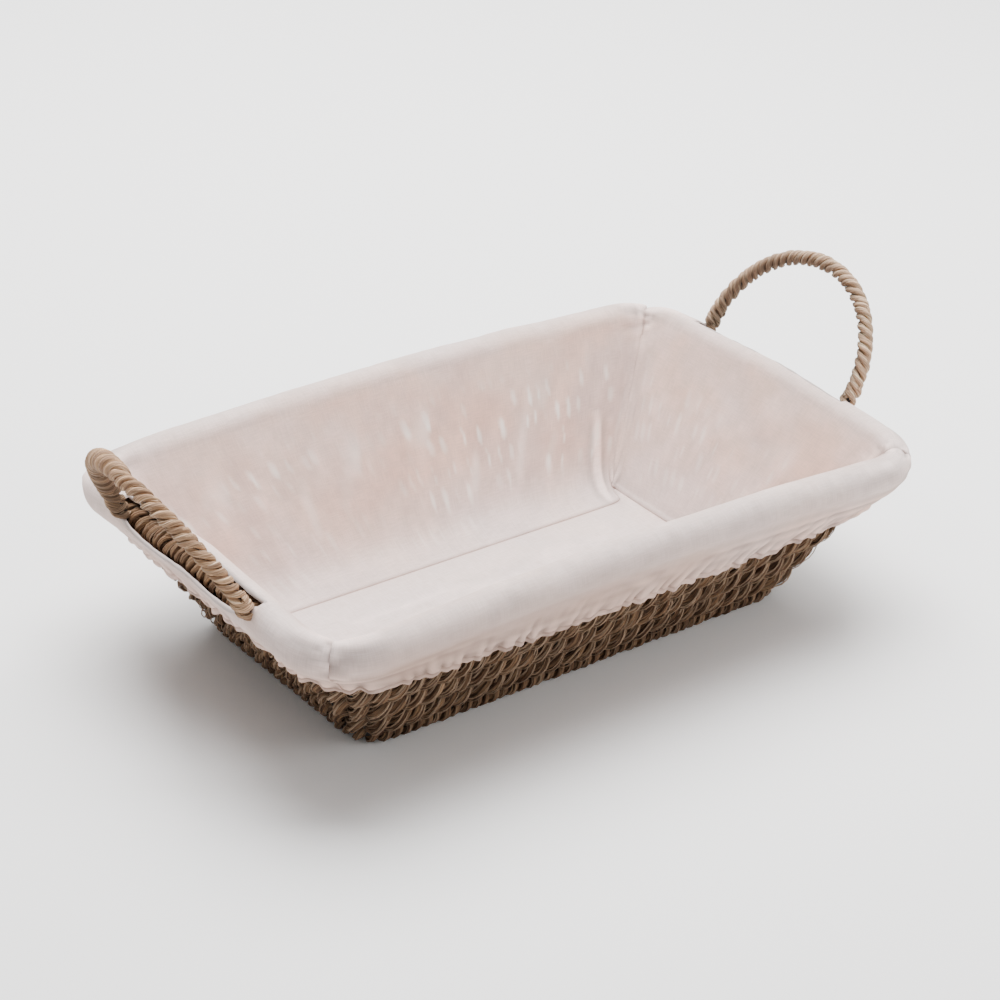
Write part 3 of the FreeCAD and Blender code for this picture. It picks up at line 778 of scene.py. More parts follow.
class BASKET_OT_wall(bpy.types.Operator):
    """Twine the rows of the wall"""
    bl_idname = "basket.wall"
    bl_label = "Woven wall"

    def execute(self, context):
        grass = context.scene.seagrass
        finishes = (seagrass_finish("seagrass_wall", WALL_TONE_AND_SHADE),
                    seagrass_finish("seagrass_fibre", 1.1, depth_shade=0.5, faded_and_backlit=0.45))
        for number, node in enumerate(ROW_NODES):
            self.row(grass, number, node, finishes)
        return {"FINISHED"}

    def row(self, grass, number, node, finishes):
        """One row: its two strands, and the loose fibres that stand off them."""
        low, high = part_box(node)
        lean = wall_lean()
        slant = math.hypot(1, (lean[0] + lean[1]) / 2)
        half_height = (high.z - low.z) * slant / 2
        outline = row_outline(node, grass.row_thickness)
        guide = [ring_guide(outline, lean)]
        twist = turns_of(outline, grass.row_lay, -1)
        depth = grass.row_thickness * 0.22
        row = strands(
            "twined_row_%d" % (number + 1), guide, strands=2, strips=6, **twist, phase=0.27 * number,
            reach_out=depth, reach_up=half_height * 0.62, strip_reach=half_height * 0.30,
            half_width=1.35 * MM, half_thickness=0.75 * MM, swell=0.3, section_points=6,
            unevenness=grass.unevenness * 1.15, seed=11.0 + number * 31.0, step=1.4 * MM,
            material=finishes[0],
        )
        settle(row, [node])
        fibres = strands(
            "loose_fibres_%d" % (number + 1), guide, strands=2, strips=6, **twist,
            phase=0.27 * number + 0.03,
            reach_out=depth + 0.2 * MM, reach_up=half_height * 0.66,
            strip_reach=half_height * 0.30 + 0.9 * MM,
            half_width=0.4 * MM, half_thickness=0.22 * MM, swell=0.3, section_points=4,
            unevenness=grass.unevenness * 1.3, seed=12.0 + number * 31.0, step=1.5 * MM,
            material=finishes[1],
        )
        settle(fibres)


class BASKET_OT_border(bpy.types.Operator):
    """Wrap the border that the basket stands on"""
    bl_idname = "basket.border"
    bl_label = "Foot border"

    def execute(self, context):
        grass = context.scene.seagrass
        low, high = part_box("foot_border")
        outline = row_outline("foot_border", grass.row_thickness)
        outline = outline.grown(0.0, (low.z + high.z) / 2)
        border = strands(
            "wrapped_border", [ring_guide(outline, wall_lean())], strands=2, strips=3,
            **turns_of(outline, grass.border_lay, strip_share=0.5),
            reach_out=grass.row_thickness * 0.5 - 2.2 * MM,
            reach_up=(high.z - low.z) / 2 - 2.6 * MM,
            strip_reach=1.15 * MM,
            half_width=1.7 * MM, half_thickness=0.75 * MM, tilt=0.3, swell=0.1,
            unevenness=grass.unevenness * 0.9, seed=301.0, step=0.9 * MM,
            material=seagrass_finish("seagrass_wall", WALL_TONE_AND_SHADE),
        )
        settle(border, ["foot_border"])
        return {"FINISHED"}


class BASKET_OT_rim(bpy.types.Operator):
    """Wind the rope of the rim, a little thinner at the corners, where the liner dips"""
    bl_idname = "basket.rim"
    bl_label = "Rim rope"
    thinning = 0.42
    thin_reach = 24 * MM

    def execute(self, context):
        grass, liner = context.scene.seagrass, context.scene.liner
        outline, radius = tube_outline("rim_braid")
        guide = ring_guide(outline, fall=lambda x, y: corner_fall(x, y, liner))
        spots = np.abs(guide[0])
        off_corner = np.hypot(outline.half_length - spots[:, 0], outline.half_width - spots[:, 1])
        girth = 1 - self.thinning * np.exp(-(off_corner / self.thin_reach) ** 2)
        rim = strands(
            "rim_rope", [guide], girth, strands=3, strips=4,
            **turns_of(outline, grass.braid_lay, -1, 0.5),
            reach_out=radius * 0.52, reach_up=radius * 0.52, strip_reach=radius * 0.27,
            half_width=1.5 * MM, half_thickness=0.8 * MM, section_points=6,
            unevenness=grass.unevenness * 0.8, seed=401.0, step=1.4 * MM,
            material=seagrass_finish("seagrass_rim", 0.85),
        )
        settle(rim, ["rim_braid"])
        return {"FINISHED"}


class BASKET_OT_base(bpy.types.Operator):
    """Lay the rows of the base"""
    bl_idname = "basket.base"
    bl_label = "Woven base"
    rows = 10

    def execute(self, context):
        grass = context.scene.seagrass
        low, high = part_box("base_weave")
        corners = points_of("base_weave")
        pitch = (high.y - low.y) / self.rows
        level = (low.z + high.z) / 2
        lines = []
        for row in range(self.rows):
            y = low.y + pitch * (row + 0.5)
            inside = corners[np.abs(corners[:, 1] - y) < pitch / 2]
            reach = inside[:, 0].max() - 1.5 * MM
            lines.append(([(-reach, y, level), (reach, y, level)], [(0, 0, -1)] * 2, False))
        turns = (high.x - low.x) / grass.mat_lay
        mat = strands(
            "base_rows", lines, strands=2, strips=3, turns=round(turns), strip_turns=-round(turns * 0.6),
            reach_out=1.3 * MM, reach_up=pitch * 0.24, strip_reach=1.25 * MM,
            half_width=1.9 * MM, half_thickness=0.95 * MM,
            unevenness=grass.unevenness * 0.7, seed=501.0, step=1.6 * MM, section_points=6,
            material=seagrass_finish("seagrass_wall", WALL_TONE_AND_SHADE),
        )
        settle(mat, ["base_weave"])
        return {"FINISHED"}


class Arch:
    """One handle's arch: where it stands, how it leans and how large it is, read from its wire.

    The left one was bent in use: its rear half leans in, reaches out and is thicker, by the sizes below.
    """
    leans_in = 2.3
    reaches_out = 1.6
    thickens = 0.36

    def __init__(self, side):
        wire = points_of("handle_core_" + side)
        low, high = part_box("handle_core_" + side)
        thick = tube_outline("rim_wire")[1]
        outward = 1 if side == "right" else -1
        slope = np.polyfit(wire[:, 2], wire[:, 0], 1)[0]
        self.rise = Vector((slope, 0, 1)).normalized()
        self.reach = (high.y - low.y) / 2 - thick
        edge = high.x if outward > 0 else low.x
        apex = Vector((edge - outward * thick, (low.y + high.y) / 2, high.z - thick))
        self.centre = apex - self.rise * self.reach
        self.across = Vector((0, 1, 0))
        self.left = side == "left"

    def point(self, angle, down=0.0):
        """A place on the arch and its direction away from the arch's centre. Down runs along a leg."""
        outside = self.across * math.cos(angle) + self.rise * math.sin(angle)
        return self.centre + outside * self.reach - self.rise * down, outside

    def bulge(self, angle):
        """How far the left handle's rear half is bent and thickened, from 0 to 1."""
        return max(0.0, math.sin(2 * angle)) ** 0.4 if self.left and angle < math.pi / 2 else 0.0

    def bent(self, angle):
        """A place on the arch as it is bent, and its direction away from the arch's centre."""
        spot, outside = self.point(angle)
        inward = self.across.cross(self.rise)
        bend = inward * self.leans_in + outside * self.reaches_out
        return spot + bend * MM * self.bulge(angle), outside


class BASKET_OT_handles(bpy.types.Operator):
    """Wrap the two handles and lash their feet"""
    bl_idname = "basket.handles"
    bl_label = "Handles"
    # How pale each handle is drawn: some bleaching of the leaf, and on the right handle painted light, as
    # that handle is lit from behind. A paler handle is also drawn brighter, which is painted light too.
    fading = {"left": 0.2, "right": 0.55}
    arch_points = 49

    def execute(self, context):
        grass = context.scene.seagrass
        for number, (side, faded_and_backlit) in enumerate(self.fading.items()):
            arch = Arch(side)
            # Each handle is drawn brighter than the wall: painted light for its lit top, and more on the
            # right, backlit one.
            finish = seagrass_finish("seagrass_handle_" + side, 1.25 + faded_and_backlit * 0.6, 0.4, faded_and_backlit)
            self.wrapping(grass, arch, number, side, finish)
            for part in ("front", "rear"):
                self.lashing(grass, arch, number, side, part, finish)
        return {"FINISHED"}

    def wrapping(self, grass, arch, number, side, finish):
        """The rope wound round a handle's wire, from foot to foot."""
        leg = arch.centre.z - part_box("handle_wrap_" + side)[0].z
        angles = np.linspace(0, math.pi, self.arch_points)
        spots = [arch.point(0, leg * share) for share in (1.0, 0.5)]
        spots += [arch.bent(angle) for angle in angles]
        spots += [arch.point(math.pi, leg * share) for share in (0.5, 1.0)]
        places, outside = zip(*spots)
        girth = [1.0, 1.0, *(1 + arch.thickens * arch.bulge(angle) for angle in angles), 1.0, 1.0]
        turns = (math.pi * arch.reach + 2 * leg) / grass.wrap_lay
        wrap = strands(
            "wound_handle_" + side, [(places, outside, False)], girth, strands=3, strips=4,
            turns=round(turns), strip_turns=round(turns * 0.6), phase=0.3 * number,
            reach_out=2.35 * MM, reach_up=2.35 * MM, strip_reach=1.15 * MM,
            half_width=1.4 * MM, half_thickness=0.75 * MM, tilt=0.25, section_points=6,
            unevenness=grass.unevenness * 0.9, seed=601.0 + 40 * number, step=0.6 * MM,
            material=finish,
        )
        settle(wrap, ["handle_wrap_" + side])

    def lashing(self, grass, arch, number, side, part, finish):
        """The short winding at one foot of a handle."""
        node = "handle_lashing_%s_%s" % (side, part)
        low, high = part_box(node)
        middle = (low + high) / 2
        half = arch.rise * 5.5 * MM
        outside = Vector((0, -1 if part == "front" else 1, 0))
        lashing = strands(
            "lashing_%s_%s" % (side, part), [([middle - half, middle + half], [outside] * 2, False)],
            strands=2, strips=3, turns=1, strip_turns=1,
            reach_out=2.9 * MM, reach_up=2.9 * MM, strip_reach=0.95 * MM,
            half_width=1.7 * MM, half_thickness=0.8 * MM, tilt=0.3,
            unevenness=grass.unevenness, seed=701.0 + 9 * number, step=0.5 * MM,
            material=finish,
        )
        settle(lashing, [node])


class BASKET_OT_wires(bpy.types.Operator):
    """Finish the wires of the frame"""
    bl_idname = "basket.wires"
    bl_label = "Wires"

    def execute(self, context):
        wire = wire_finish()
        for node in WIRE_NODES:
            coat(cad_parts[node], wire)
        return {"FINISHED"}


# ------------------------------------------------------------------ liner
def soft_noise(round_way, up_way, cells, seed):
    """Smooth noise between -1 and 1 that repeats after a whole number of cells the first way."""
    lattice = np.random.default_rng(seed).uniform(-1, 1, (cells, NOISE_ROWS))
    cell_a, cell_b = np.floor(round_way).astype(int), np.floor(up_way).astype(int)
    part_a, part_b = round_way - cell_a, up_way - cell_b
    part_a, part_b = part_a * part_a * (3 - 2 * part_a), part_b * part_b * (3 - 2 * part_b)
    a0, a1 = cell_a % cells, (cell_a + 1) % cells
    b0, b1 = cell_b % NOISE_ROWS, (cell_b + 1) % NOISE_ROWS
    low = lattice[a0, b0] * (1 - part_a) + lattice[a1, b0] * part_a
    high = lattice[a0, b1] * (1 - part_a) + lattice[a1, b1] * part_a
    return low * (1 - part_b) + high * part_b


def eased(value, start, reach):
    """0 up to a start, 1 from a reach beyond it, and a smooth ramp between."""
    part = np.clip((value - start) / reach, 0, 1)
    return part * part * (3 - 2 * part)


def level_way(directions):
    """The level part of some directions, one metre long."""
    level = directions[..., :2]
    return level / np.linalg.norm(level, axis=-1, keepdims=True)


def tangent_to(point, centre, radius, turn):
    """Where a line from a point touches a circle, on the side that turn names, and the line's angle."""
    way = centre - point
    angle = math.atan2(way[1], way[0]) + turn * math.asin(radius / np.hypot(*way))
    run = math.sqrt(way @ way - radius ** 2)
    return point + run * np.array([math.cos(angle), math.sin(angle)]), angle


class ClothSection:
    """The cloth's visible face across one side: up the wall, round the rim and down the flap.

    Each station has its distance out, its height, the angle of its outside and its distance up the cloth.
    """

    def __init__(self, foot, rim, hem, radius, slot_level, steps):
        foot, rim, hem = (np.array(spot) for spot in (foot, rim, hem))
        wall_top, wall_angle = tangent_to(foot, rim, radius, 1)
        flap_top, flap_angle = tangent_to(hem, rim, radius, -1)
        enter, leave = wall_angle + math.pi / 2, flap_angle - math.pi / 2
        slot_angle = math.asin((slot_level - rim[1]) / radius)
        stops = [enter, math.pi / 2, slot_angle, leave]
        bends = [np.linspace(a, b, count + 1)[:-1] for a, b, count in zip(stops, stops[1:], steps[1:4])]
        bend = np.concatenate(bends)
        wall = np.linspace(0, 1, steps[0] + 1)[:-1, None]
        flap = np.linspace(0, 1, steps[4] + 1)[:, None]
        arc = rim + radius * np.column_stack([np.cos(bend), np.sin(bend)])
        self.spots = np.vstack([foot + (wall_top - foot) * wall, arc, flap_top + (hem - flap_top) * flap])
        self.angles = np.concatenate([np.full(steps[0], enter), bend, np.full(steps[4] + 1, leave)])
        gaps = np.hypot(*np.diff(self.spots, axis=0).T)
        self.run = np.concatenate([[0], np.cumsum(gaps)])


class Liner:
    """The liner's main lines, read from its solids.

    The runs are the lengths up the wall, from there to a slot, across the slot, on round the rim, and
    down the flap. The notch is how far the cloth sinks in where a corner seam meets the rim. The hem
    flare is how far the hem moves out for each metre that it climbs.
    """
    runs = (98 * MM, 9 * MM, 14 * MM, 6 * MM, 30 * MM)
    slot_drop = 2.1 * MM
    hem_inset = 1.6 * MM
    lift_reach = 62 * MM
    hem_flare = 0.66
    notch = 3.4 * MM
    notch_rows = 13
    corner_steps = 16

    def __init__(self, settings):
        self.settings = settings
        self.rim = tube_outline("rim_wire")[0]
        self.hem, self.casing = tube_outline("liner_hem")
        self.floor = outline_of("liner_floor")
        self.floor.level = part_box("liner_floor")[1].z
        top = max(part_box("liner_" + side)[1].z for side in SIDES)
        self.roll = top - self.rim.level
        self.hem_top = self.hem.level + self.casing
        self.steps = [round(run / settings.grid) for run in self.runs]
        self.slot_level = self.rim.level - self.slot_drop
        self.end = self.section("half_length")
        self.side = self.section("half_width")
        reach = self.end.spots[:, 0] - self.rim.half_length
        first, last = self.steps[0], self.steps[0] + sum(self.steps[1:4])
        corner = self.rim.corner + reach
        climb = np.linspace(0, 1, first + 1)[:-1]
        corner[:first] = self.floor.corner + (corner[first] - self.floor.corner) * climb ** 3
        corner[last:] = np.linspace(corner[last], self.hem.corner + self.casing, len(corner) - last)
        self.corner = corner
        self.wall_end, self.flap_start = first, last
        self.around = self.rim.perimeter()
        self.slots = {side: self.slot_of(side) for side in ("left", "right")}

    def section(self, way):
        """The cloth's section at an end (half_length) or at a long side (half_width)."""
        hem_edge = self.hem.grown(self.casing)
        foot = (getattr(self.floor, way), self.floor.level)
        rim = (getattr(self.rim, way), self.rim.level)
        hem = (getattr(hem_edge, way) - self.hem_inset, self.hem_top)
        return ClothSection(foot, rim, hem, self.roll, self.slot_level, self.steps)

    def slot_of(self, side):
        """Where a handle's slot lies: its two ends along the side, and its inner edge's angle round the rim.

        The right slot starts on top of the rim. The left one starts further in at its rear end, so that the
        whole rope shows, and is a little longer there.
        """
        arch = Arch(side)
        sign = 1 if side == "right" else -1
        reach = arch.reach + self.settings.slot_room
        inner = math.radians(90 if side == "right" else 102)
        spare = 0.0 if side == "right" else 3 * MM
        return sign * arch.centre.y - reach - spare, sign * arch.centre.y + reach, inner

    def roll_angles(self, side, along):
        """Angles round the rim for the rows of the roll. A slot's two edges bow apart between its ends."""
        low, high, inner = self.slots[side]
        reach = (high - low) / 2
        if side == "left":
            inner = inner - math.radians(22) * np.clip((along - low) / (high - low), 0, 1)
        off = np.abs(along - (low + high) / 2) / reach
        bow = np.clip(1 - off ** 6, 0, 1)
        away = np.clip((off - 1) * reach / (12 * MM), 0, 1)
        top, outer = math.pi / 2, math.asin((self.slot_level - self.rim.level) / self.roll)
        inner_end, outer_end = top, top - math.radians(26)
        first = inner_end + (inner - inner_end) * bow + (top - inner_end) * away
        second = outer_end + (outer - outer_end) * np.maximum(bow, away)
        enter = np.full(along.shape, self.end.angles[self.wall_end])
        leave = np.full(along.shape, self.end.angles[-1])
        stops = [enter, first, second, leave]
        groups = [a + (b - a) * np.arange(count)[:, None] / count
                  for a, b, count in zip(stops, stops[1:], self.steps[1:4])]
        return np.concatenate(groups)

    def columns(self, side):
        """Headings, places along the straight part and distances round the rim, for one side's columns."""
        marks = self.slots[side][:2] if side in self.slots else ()
        half = self.rim.half_width if side in ("left", "right") else self.rim.half_length
        straight = half - self.rim.corner
        turn = self.rim.corner * math.pi / 4
        arc = np.linspace(-math.pi / 4, 0, self.corner_steps + 1)[:-1]
        stops = [-straight, *marks, straight]
        counts = [max(2, round((b - a) / self.settings.grid)) for a, b in zip(stops, stops[1:])]
        runs = [np.linspace(a, b, count + 1)[:-1] for a, b, count in zip(stops, stops[1:], counts)]
        middle = np.append(np.concatenate(runs), straight)
        bend = np.concatenate([arc, np.zeros(len(middle)), -arc[::-1]])
        steps = self.corner_steps
        along = np.concatenate([np.full(steps, -straight), middle, np.full(steps, straight)])
        heading = math.radians(SIDES[side]) + bend
        quarter = SIDES[side] / 90
        half_straights = (self.rim.half_width - self.rim.corner, self.rim.half_length - self.rim.corner)
        before = 0.0
        for passed in range(int(quarter)):
            before += half_straights[passed % 2] + 2 * turn + half_straights[(passed + 1) % 2]
        distance = before + along + bend * self.rim.corner
        return heading, along, along / straight, distance % self.around

    def surface(self, side):
        """The bare surface of one side: places, outside directions, and distances round and up."""
        heading, along, fraction, distance = self.columns(side)
        own, other = (self.end, self.side) if side in ("left", "right") else (self.side, self.end)
        middle = math.radians(SIDES[side])
        out = own.spots[:, 0] - self.corner
        reach = other.spots[:, 0] - self.corner
        bend = heading - middle
        ends = np.cos(heading) ** 2
        level = self.end.spots[:, 1][:, None] * ends + self.side.spots[:, 1][:, None] * (1 - ends)
        angle = self.end.angles[:, None] * ends + self.side.angles[:, None] * (1 - ends)
        corner = np.repeat(self.corner[:, None], len(heading), axis=1)
        up = np.repeat(own.run[:, None], len(heading), axis=1)
        if side in self.slots:
            rows = slice(self.wall_end, self.flap_start)
            round_rim = self.roll_angles(side, along)
            angle[rows] = round_rim * ends + self.side.angles[rows, None] * (1 - ends)
            level[rows] = self.rim.level + self.roll * np.sin(angle[rows])
            corner[rows] = self.rim.corner + self.roll * np.cos(angle[rows])
            up[rows] = own.run[self.wall_end] + self.roll * (own.angles[self.wall_end] - angle[rows])
            out[rows] = self.rim.half_length - self.rim.corner
            reach[rows] = self.rim.half_width - self.rim.corner
        outward = out[:, None] + corner * np.cos(bend)
        sideways = reach[:, None] * fraction + corner * np.sin(bend)
        x = outward * math.cos(middle) - sideways * math.sin(middle)
        y = outward * math.sin(middle) + sideways * math.cos(middle)
        places = np.stack([x, y, level], axis=-1)
        level_part = np.cos(angle)
        normals = np.stack([np.cos(heading) * level_part, np.sin(heading) * level_part, np.sin(angle)], -1)
        rounds = np.broadcast_to(distance, level.shape)
        return places, normals, rounds, up

    def noise(self, rounds, up, cell_round, cell_up, seed):
        """Smooth noise over the cloth, with cells of the given size."""
        cells = round(self.around / cell_round)
        return soft_noise(rounds / self.around * cells, up / cell_up, cells, seed)

    def corner_distance(self, rounds):
        """Distance round the rim from the nearest corner seam."""
        quarter = self.rim.half_width - self.rim.corner + self.rim.corner * math.pi / 4
        seams = []
        for sign in (-1, 1):
            for start in (0, self.around / 2):
                seams.append((start + sign * quarter) % self.around)
        gaps = [np.abs((rounds - seam + self.around / 2) % self.around - self.around / 2) for seam in seams]
        return np.minimum.reduce(gaps)

    def from_corner(self, rounds):
        """Distance round the rim from the rear right corner seam, positive along the rear."""
        seam = self.rim.half_width - self.rim.corner + self.rim.corner * math.pi / 4
        return (rounds - seam + self.around / 2) % self.around - self.around / 2

    def coved(self, side, places, normals, rounds, up):
        """The wall's foot curved into the floor, less near the corner seams and at the right end."""
        seam = self.corner_distance(rounds)
        full = self.settings.cove * (1 - np.exp(-(seam / (15 * MM)) ** 2))
        reach = np.maximum(full * (0.12 if side == "right" else 1.0), 0.2 * MM)
        share = np.clip(up / reach, 0, 1)[..., None]
        wall = places[self.wall_end] - places[0]
        wall = wall / np.linalg.norm(wall, axis=-1, keepdims=True)
        inward = np.concatenate([level_way(normals), np.zeros(rounds.shape + (1,))], axis=-1)
        bent = (1 - share) ** 2 * inward + (share ** 2 - share) * wall
        return places + bent * reach[..., None]

    def shares(self, rows):
        """How far each row is up the wall and down the flap, as columns from 0 to 1."""
        wall = np.clip(rows / self.wall_end, 0, 1)[:, None]
        flap = np.clip((rows - self.flap_start) / (rows[-1] - self.flap_start), 0, 1)[:, None]
        return wall, flap

    def folds(self, side, rounds, up, rows):
        """How far the cloth stands off its bare surface: sag, creases, gathers and puckered seams."""
        wall, flap = self.shares(rows)
        middle = (self.wall_end + self.flap_start) / 2
        roll = 1 - np.clip(np.abs(rows - middle) / (self.flap_start - self.wall_end), 0, 1)[:, None]
        seam = self.corner_distance(rounds)
        slow = self.noise(rounds, up, 45 * MM, 70 * MM, 1)
        crease = self.noise(rounds, up, 6 * MM, 7 * MM, 3)
        height = self.wall_folds(rounds, up, wall, slow, crease)
        height = height + roll * (0.4 * MM * self.noise(rounds, up, 24 * MM, 12 * MM, 4) + 0.12 * MM * crease)
        height = height + self.flap_folds(rounds, up, flap, slow)
        height = height + self.seam_folds(rounds, up, wall, roll, seam)
        by_top = np.clip(1 - np.abs(rows - self.wall_end - 2) / self.notch_rows, 0, 1)[:, None]
        height = height - self.notch * np.exp(-seam / (9 * MM)) * by_top
        return height + self.corner_star(up, seam) + self.standing_pleat(side, rounds, up)

    def wall_folds(self, rounds, up, wall, slow, crease):
        """The sag of a wall and its broad folds, two of them slanted."""
        on_wall = np.where(wall < 1, np.sin(wall * math.pi) ** 0.7, 0) * np.clip(wall * 12, 0, 1)
        fold = self.noise(rounds + up * 0.25, up, 15 * MM, 45 * MM, 2)
        slant = self.noise(rounds + up * 0.9, up, 24 * MM, 90 * MM, 12)
        other_slant = self.noise(rounds - up * 1.2, up, 30 * MM, 80 * MM, 13)
        sag = self.settings.wall_sag * (0.9 + 0.8 * slow)
        return on_wall * (sag + (0.5 * fold + 0.14 * crease + 0.7 * slant + 0.6 * other_slant) * MM)

    def flap_folds(self, rounds, up, flap, slow):
        """The gathers above the elastic, and the creases across the flap."""
        pleat = self.noise(rounds + up * 0.2, up, 3.5 * MM, 30 * MM, 5)
        creased = self.noise(rounds, up, 70 * MM, 5 * MM, 6)
        slanted = self.noise(rounds - up * 0.9, up, 11 * MM, 60 * MM, 8)
        gathers = flap ** 2.2 * self.settings.gather * (0.6 + 1.5 * pleat)
        return gathers + np.sin(flap * math.pi) * (0.5 * creased + 0.4 * slow + 0.5 * slanted) * MM

    def seam_folds(self, rounds, up, wall, roll, seam):
        """The groove of a corner seam, and the puckers and tucks beside it."""
        pucker = self.noise(rounds, up, 3.6 * MM, 2.8 * MM, 7)
        tuck = self.noise(rounds + up * 0.5, up, 26 * MM, 5.0 * MM, 9)
        depth = np.where(wall < 1, 0.3 * MM, 0.08 * MM) * np.clip(wall * 6, 0, 1)
        groove = depth * np.exp(-(seam / (1.8 * MM)) ** 2)
        puckers = 0.8 * MM * pucker * np.exp(-(seam / (7 * MM)) ** 2) * np.clip(roll * 2, 0, 1)
        return puckers - groove + 1.5 * MM * tuck * np.exp(-(seam / (22 * MM)) ** 2) * roll

    def corner_star(self, up, seam):
        """Folds that run out from each corner of the floor, where the walls are sewn together."""
        from_point = np.hypot(seam, up)
        turned = np.arctan2(up, seam)
        fading = np.exp(-from_point / (13 * MM)) * np.clip(from_point / (3 * MM), 0, 1)
        star = np.cos(turned * 7 + 0.8) * fading
        seam_line = np.exp(-(seam / (0.9 * MM)) ** 2) * np.exp(-up / (15 * MM))
        return 0.8 * MM * star - 1.0 * MM * seam_line

    def standing_pleat(self, side, rounds, up):
        """One pleat that stands out from the rear wall near its right corner."""
        if side != "rear":
            return 0.0
        line = 29 * MM + up * 0.2
        ridge = np.exp(-((self.from_corner(rounds) - line) / (3.2 * MM)) ** 2)
        return 2.4 * MM * ridge * np.sqrt(np.clip(1 - up / (44 * MM), 0, 1)) * np.clip(up / (8 * MM), 0, 1)

    def worn(self, side):
        """One side as it hangs: places, outside directions, distances round and up, and folds' height."""
        places, normals, rounds, up = self.surface(side)
        settings = self.settings
        rows = np.arange(len(places))
        places = self.coved(side, places, normals, rounds, up)
        height = self.folds(side, rounds, up, rows)
        places = places + normals * height[..., None]

        wall, flap = self.shares(rows)
        seam = self.corner_distance(rounds)
        fall = corner_fall(places[..., 0], places[..., 1], settings)
        near_corner = np.exp(-0.5 * (seam / settings.dip_reach * 1.3) ** 2)
        places[..., 2] -= fall * (wall - flap)
        right_end = eased(places[..., 0], self.rim.half_length - self.lift_reach, self.lift_reach)
        climb = (settings.hem_rise * near_corner + settings.end_lift * right_end) * flap ** 1.5
        places[..., 2] += climb
        places[..., :2] += level_way(normals) * climb[..., None] * self.hem_flare
        return places, normals, rounds, up, height

    def marks(self, side, rounds, up, height):
        """What the finish needs at each point: painted light where light comes through the cloth, the tint of
        the weave behind with painted bounce light, painted shade on the flap, and relief for painted shade
        and highlights in the folds.
        """
        turned_down = eased(np.arange(len(rounds)), self.flap_start - 18, 22)[:, None]
        bare = np.clip(self.corner_distance(rounds) / (22 * MM) - 0.3, 0, 1)
        return {
            "glow": self.glow(rounds, up) * bare * (0.4 if side == "right" else 1.0),
            "show_through_and_bounce": self.show_through_and_bounce(*rounds.shape),
            "shade": turned_down * self.flap_shade(rounds),
            "relief": relief(height),
        }

    def flap_shade(self, rounds):
        """Painted shade on the flap, from side to side, with a soft change at each corner: darkest at the
        left end of the front, lightest on the left side. The weave behind darkens it a little too.
        """
        seam = self.rim.half_width - self.rim.corner + self.rim.corner * math.pi / 4
        half, blend = self.around / 2, 24 * MM
        stops = [0, seam - blend, seam + blend, half - seam - blend, half - seam + blend,
                 half + seam - blend, half + seam + blend, 2 * half - seam - blend, 2 * half - seam + blend]
        return np.interp(rounds, stops, [0.5, 0.5, 0.6, 0.6, 0.25, 0.25, 0.9, 0.3, 0.5], period=self.around)

    def glow(self, rounds, up):
        """Painted light: pale slanted streaks on the wall where light comes through the gaps in the weave."""
        rows = np.clip(up / (self.end.run[self.wall_end]), 0, 1)
        pitch_round, pitch_up = 8.5 * MM, 14 * MM
        number = np.floor(up / pitch_up)
        shift = rounds - up * 0.16 + number * 4.3 * MM
        cells = round(self.around / pitch_round)
        spot = (shift / self.around * cells) % cells
        cell = np.floor(spot)
        spread = [soft_noise(cell * 0.999, number * 0.999, cells, seed) for seed in (21, 22, 25)]
        chance, offset, size = spread
        patch = np.clip(soft_noise(spot * 0.16, up / (40 * MM), cells, 23) * 1.3 + 0.6, 0, 1)
        across = (spot - cell - 0.5 - 0.3 * offset) / (0.2 + 0.13 * size)
        tall = (up / pitch_up - number - 0.5 - 0.12 * offset) / (0.34 + 0.16 * chance)
        blob = np.clip(1 - across ** 2 - np.abs(tall) ** 2.5, 0, 1)
        band = np.clip((rows - 0.05) / 0.15, 0, 1) * np.clip((0.82 - rows) / 0.2, 0, 1)
        wide = np.clip(self.noise(rounds + up * 0.2, up, 12 * MM, 30 * MM, 24) - 0.4, 0, 1)
        strength = np.clip(chance * 1.6 + 0.5, 0, 1)
        return np.clip(blob ** 0.7 * strength * patch + wide * 0.9, 0, 1) * band

    def show_through_and_bounce(self, rows, columns):
        """How far the brown weave behind shows through, with painted bounce light from the weave on the walls
        in shade: least at a wall's foot and on top of the roll.
        """
        row = np.arange(rows)
        wall = 0.25 + 0.75 * eased(row, 0, self.wall_end * 0.45)
        wall = wall * np.clip((self.wall_end + self.steps[1] + 4 - row) / 12, 0, 1)
        flap = np.clip((row - self.flap_start + 11) / 17, 0, 1)
        return np.broadcast_to((wall + 0.85 * flap)[:, None], (rows, columns))


def relief(height, reach=4, depth=0.55 * MM):
    """How far each point stands above its surroundings, as 0 to 1 with level cloth at a half. The cotton
    finish turns it into painted shade in hollows and painted highlights on ridges.
    """
    padded = np.pad(height, reach, mode="edge")
    rows, columns = height.shape
    total = np.zeros(height.shape)
    for down in range(2 * reach + 1):
        for over in range(2 * reach + 1):
            total += padded[down:down + rows, over:over + columns]
    around = total / (2 * reach + 1) ** 2
    return np.clip(0.5 + (height - around) / depth / 2, 0, 1)


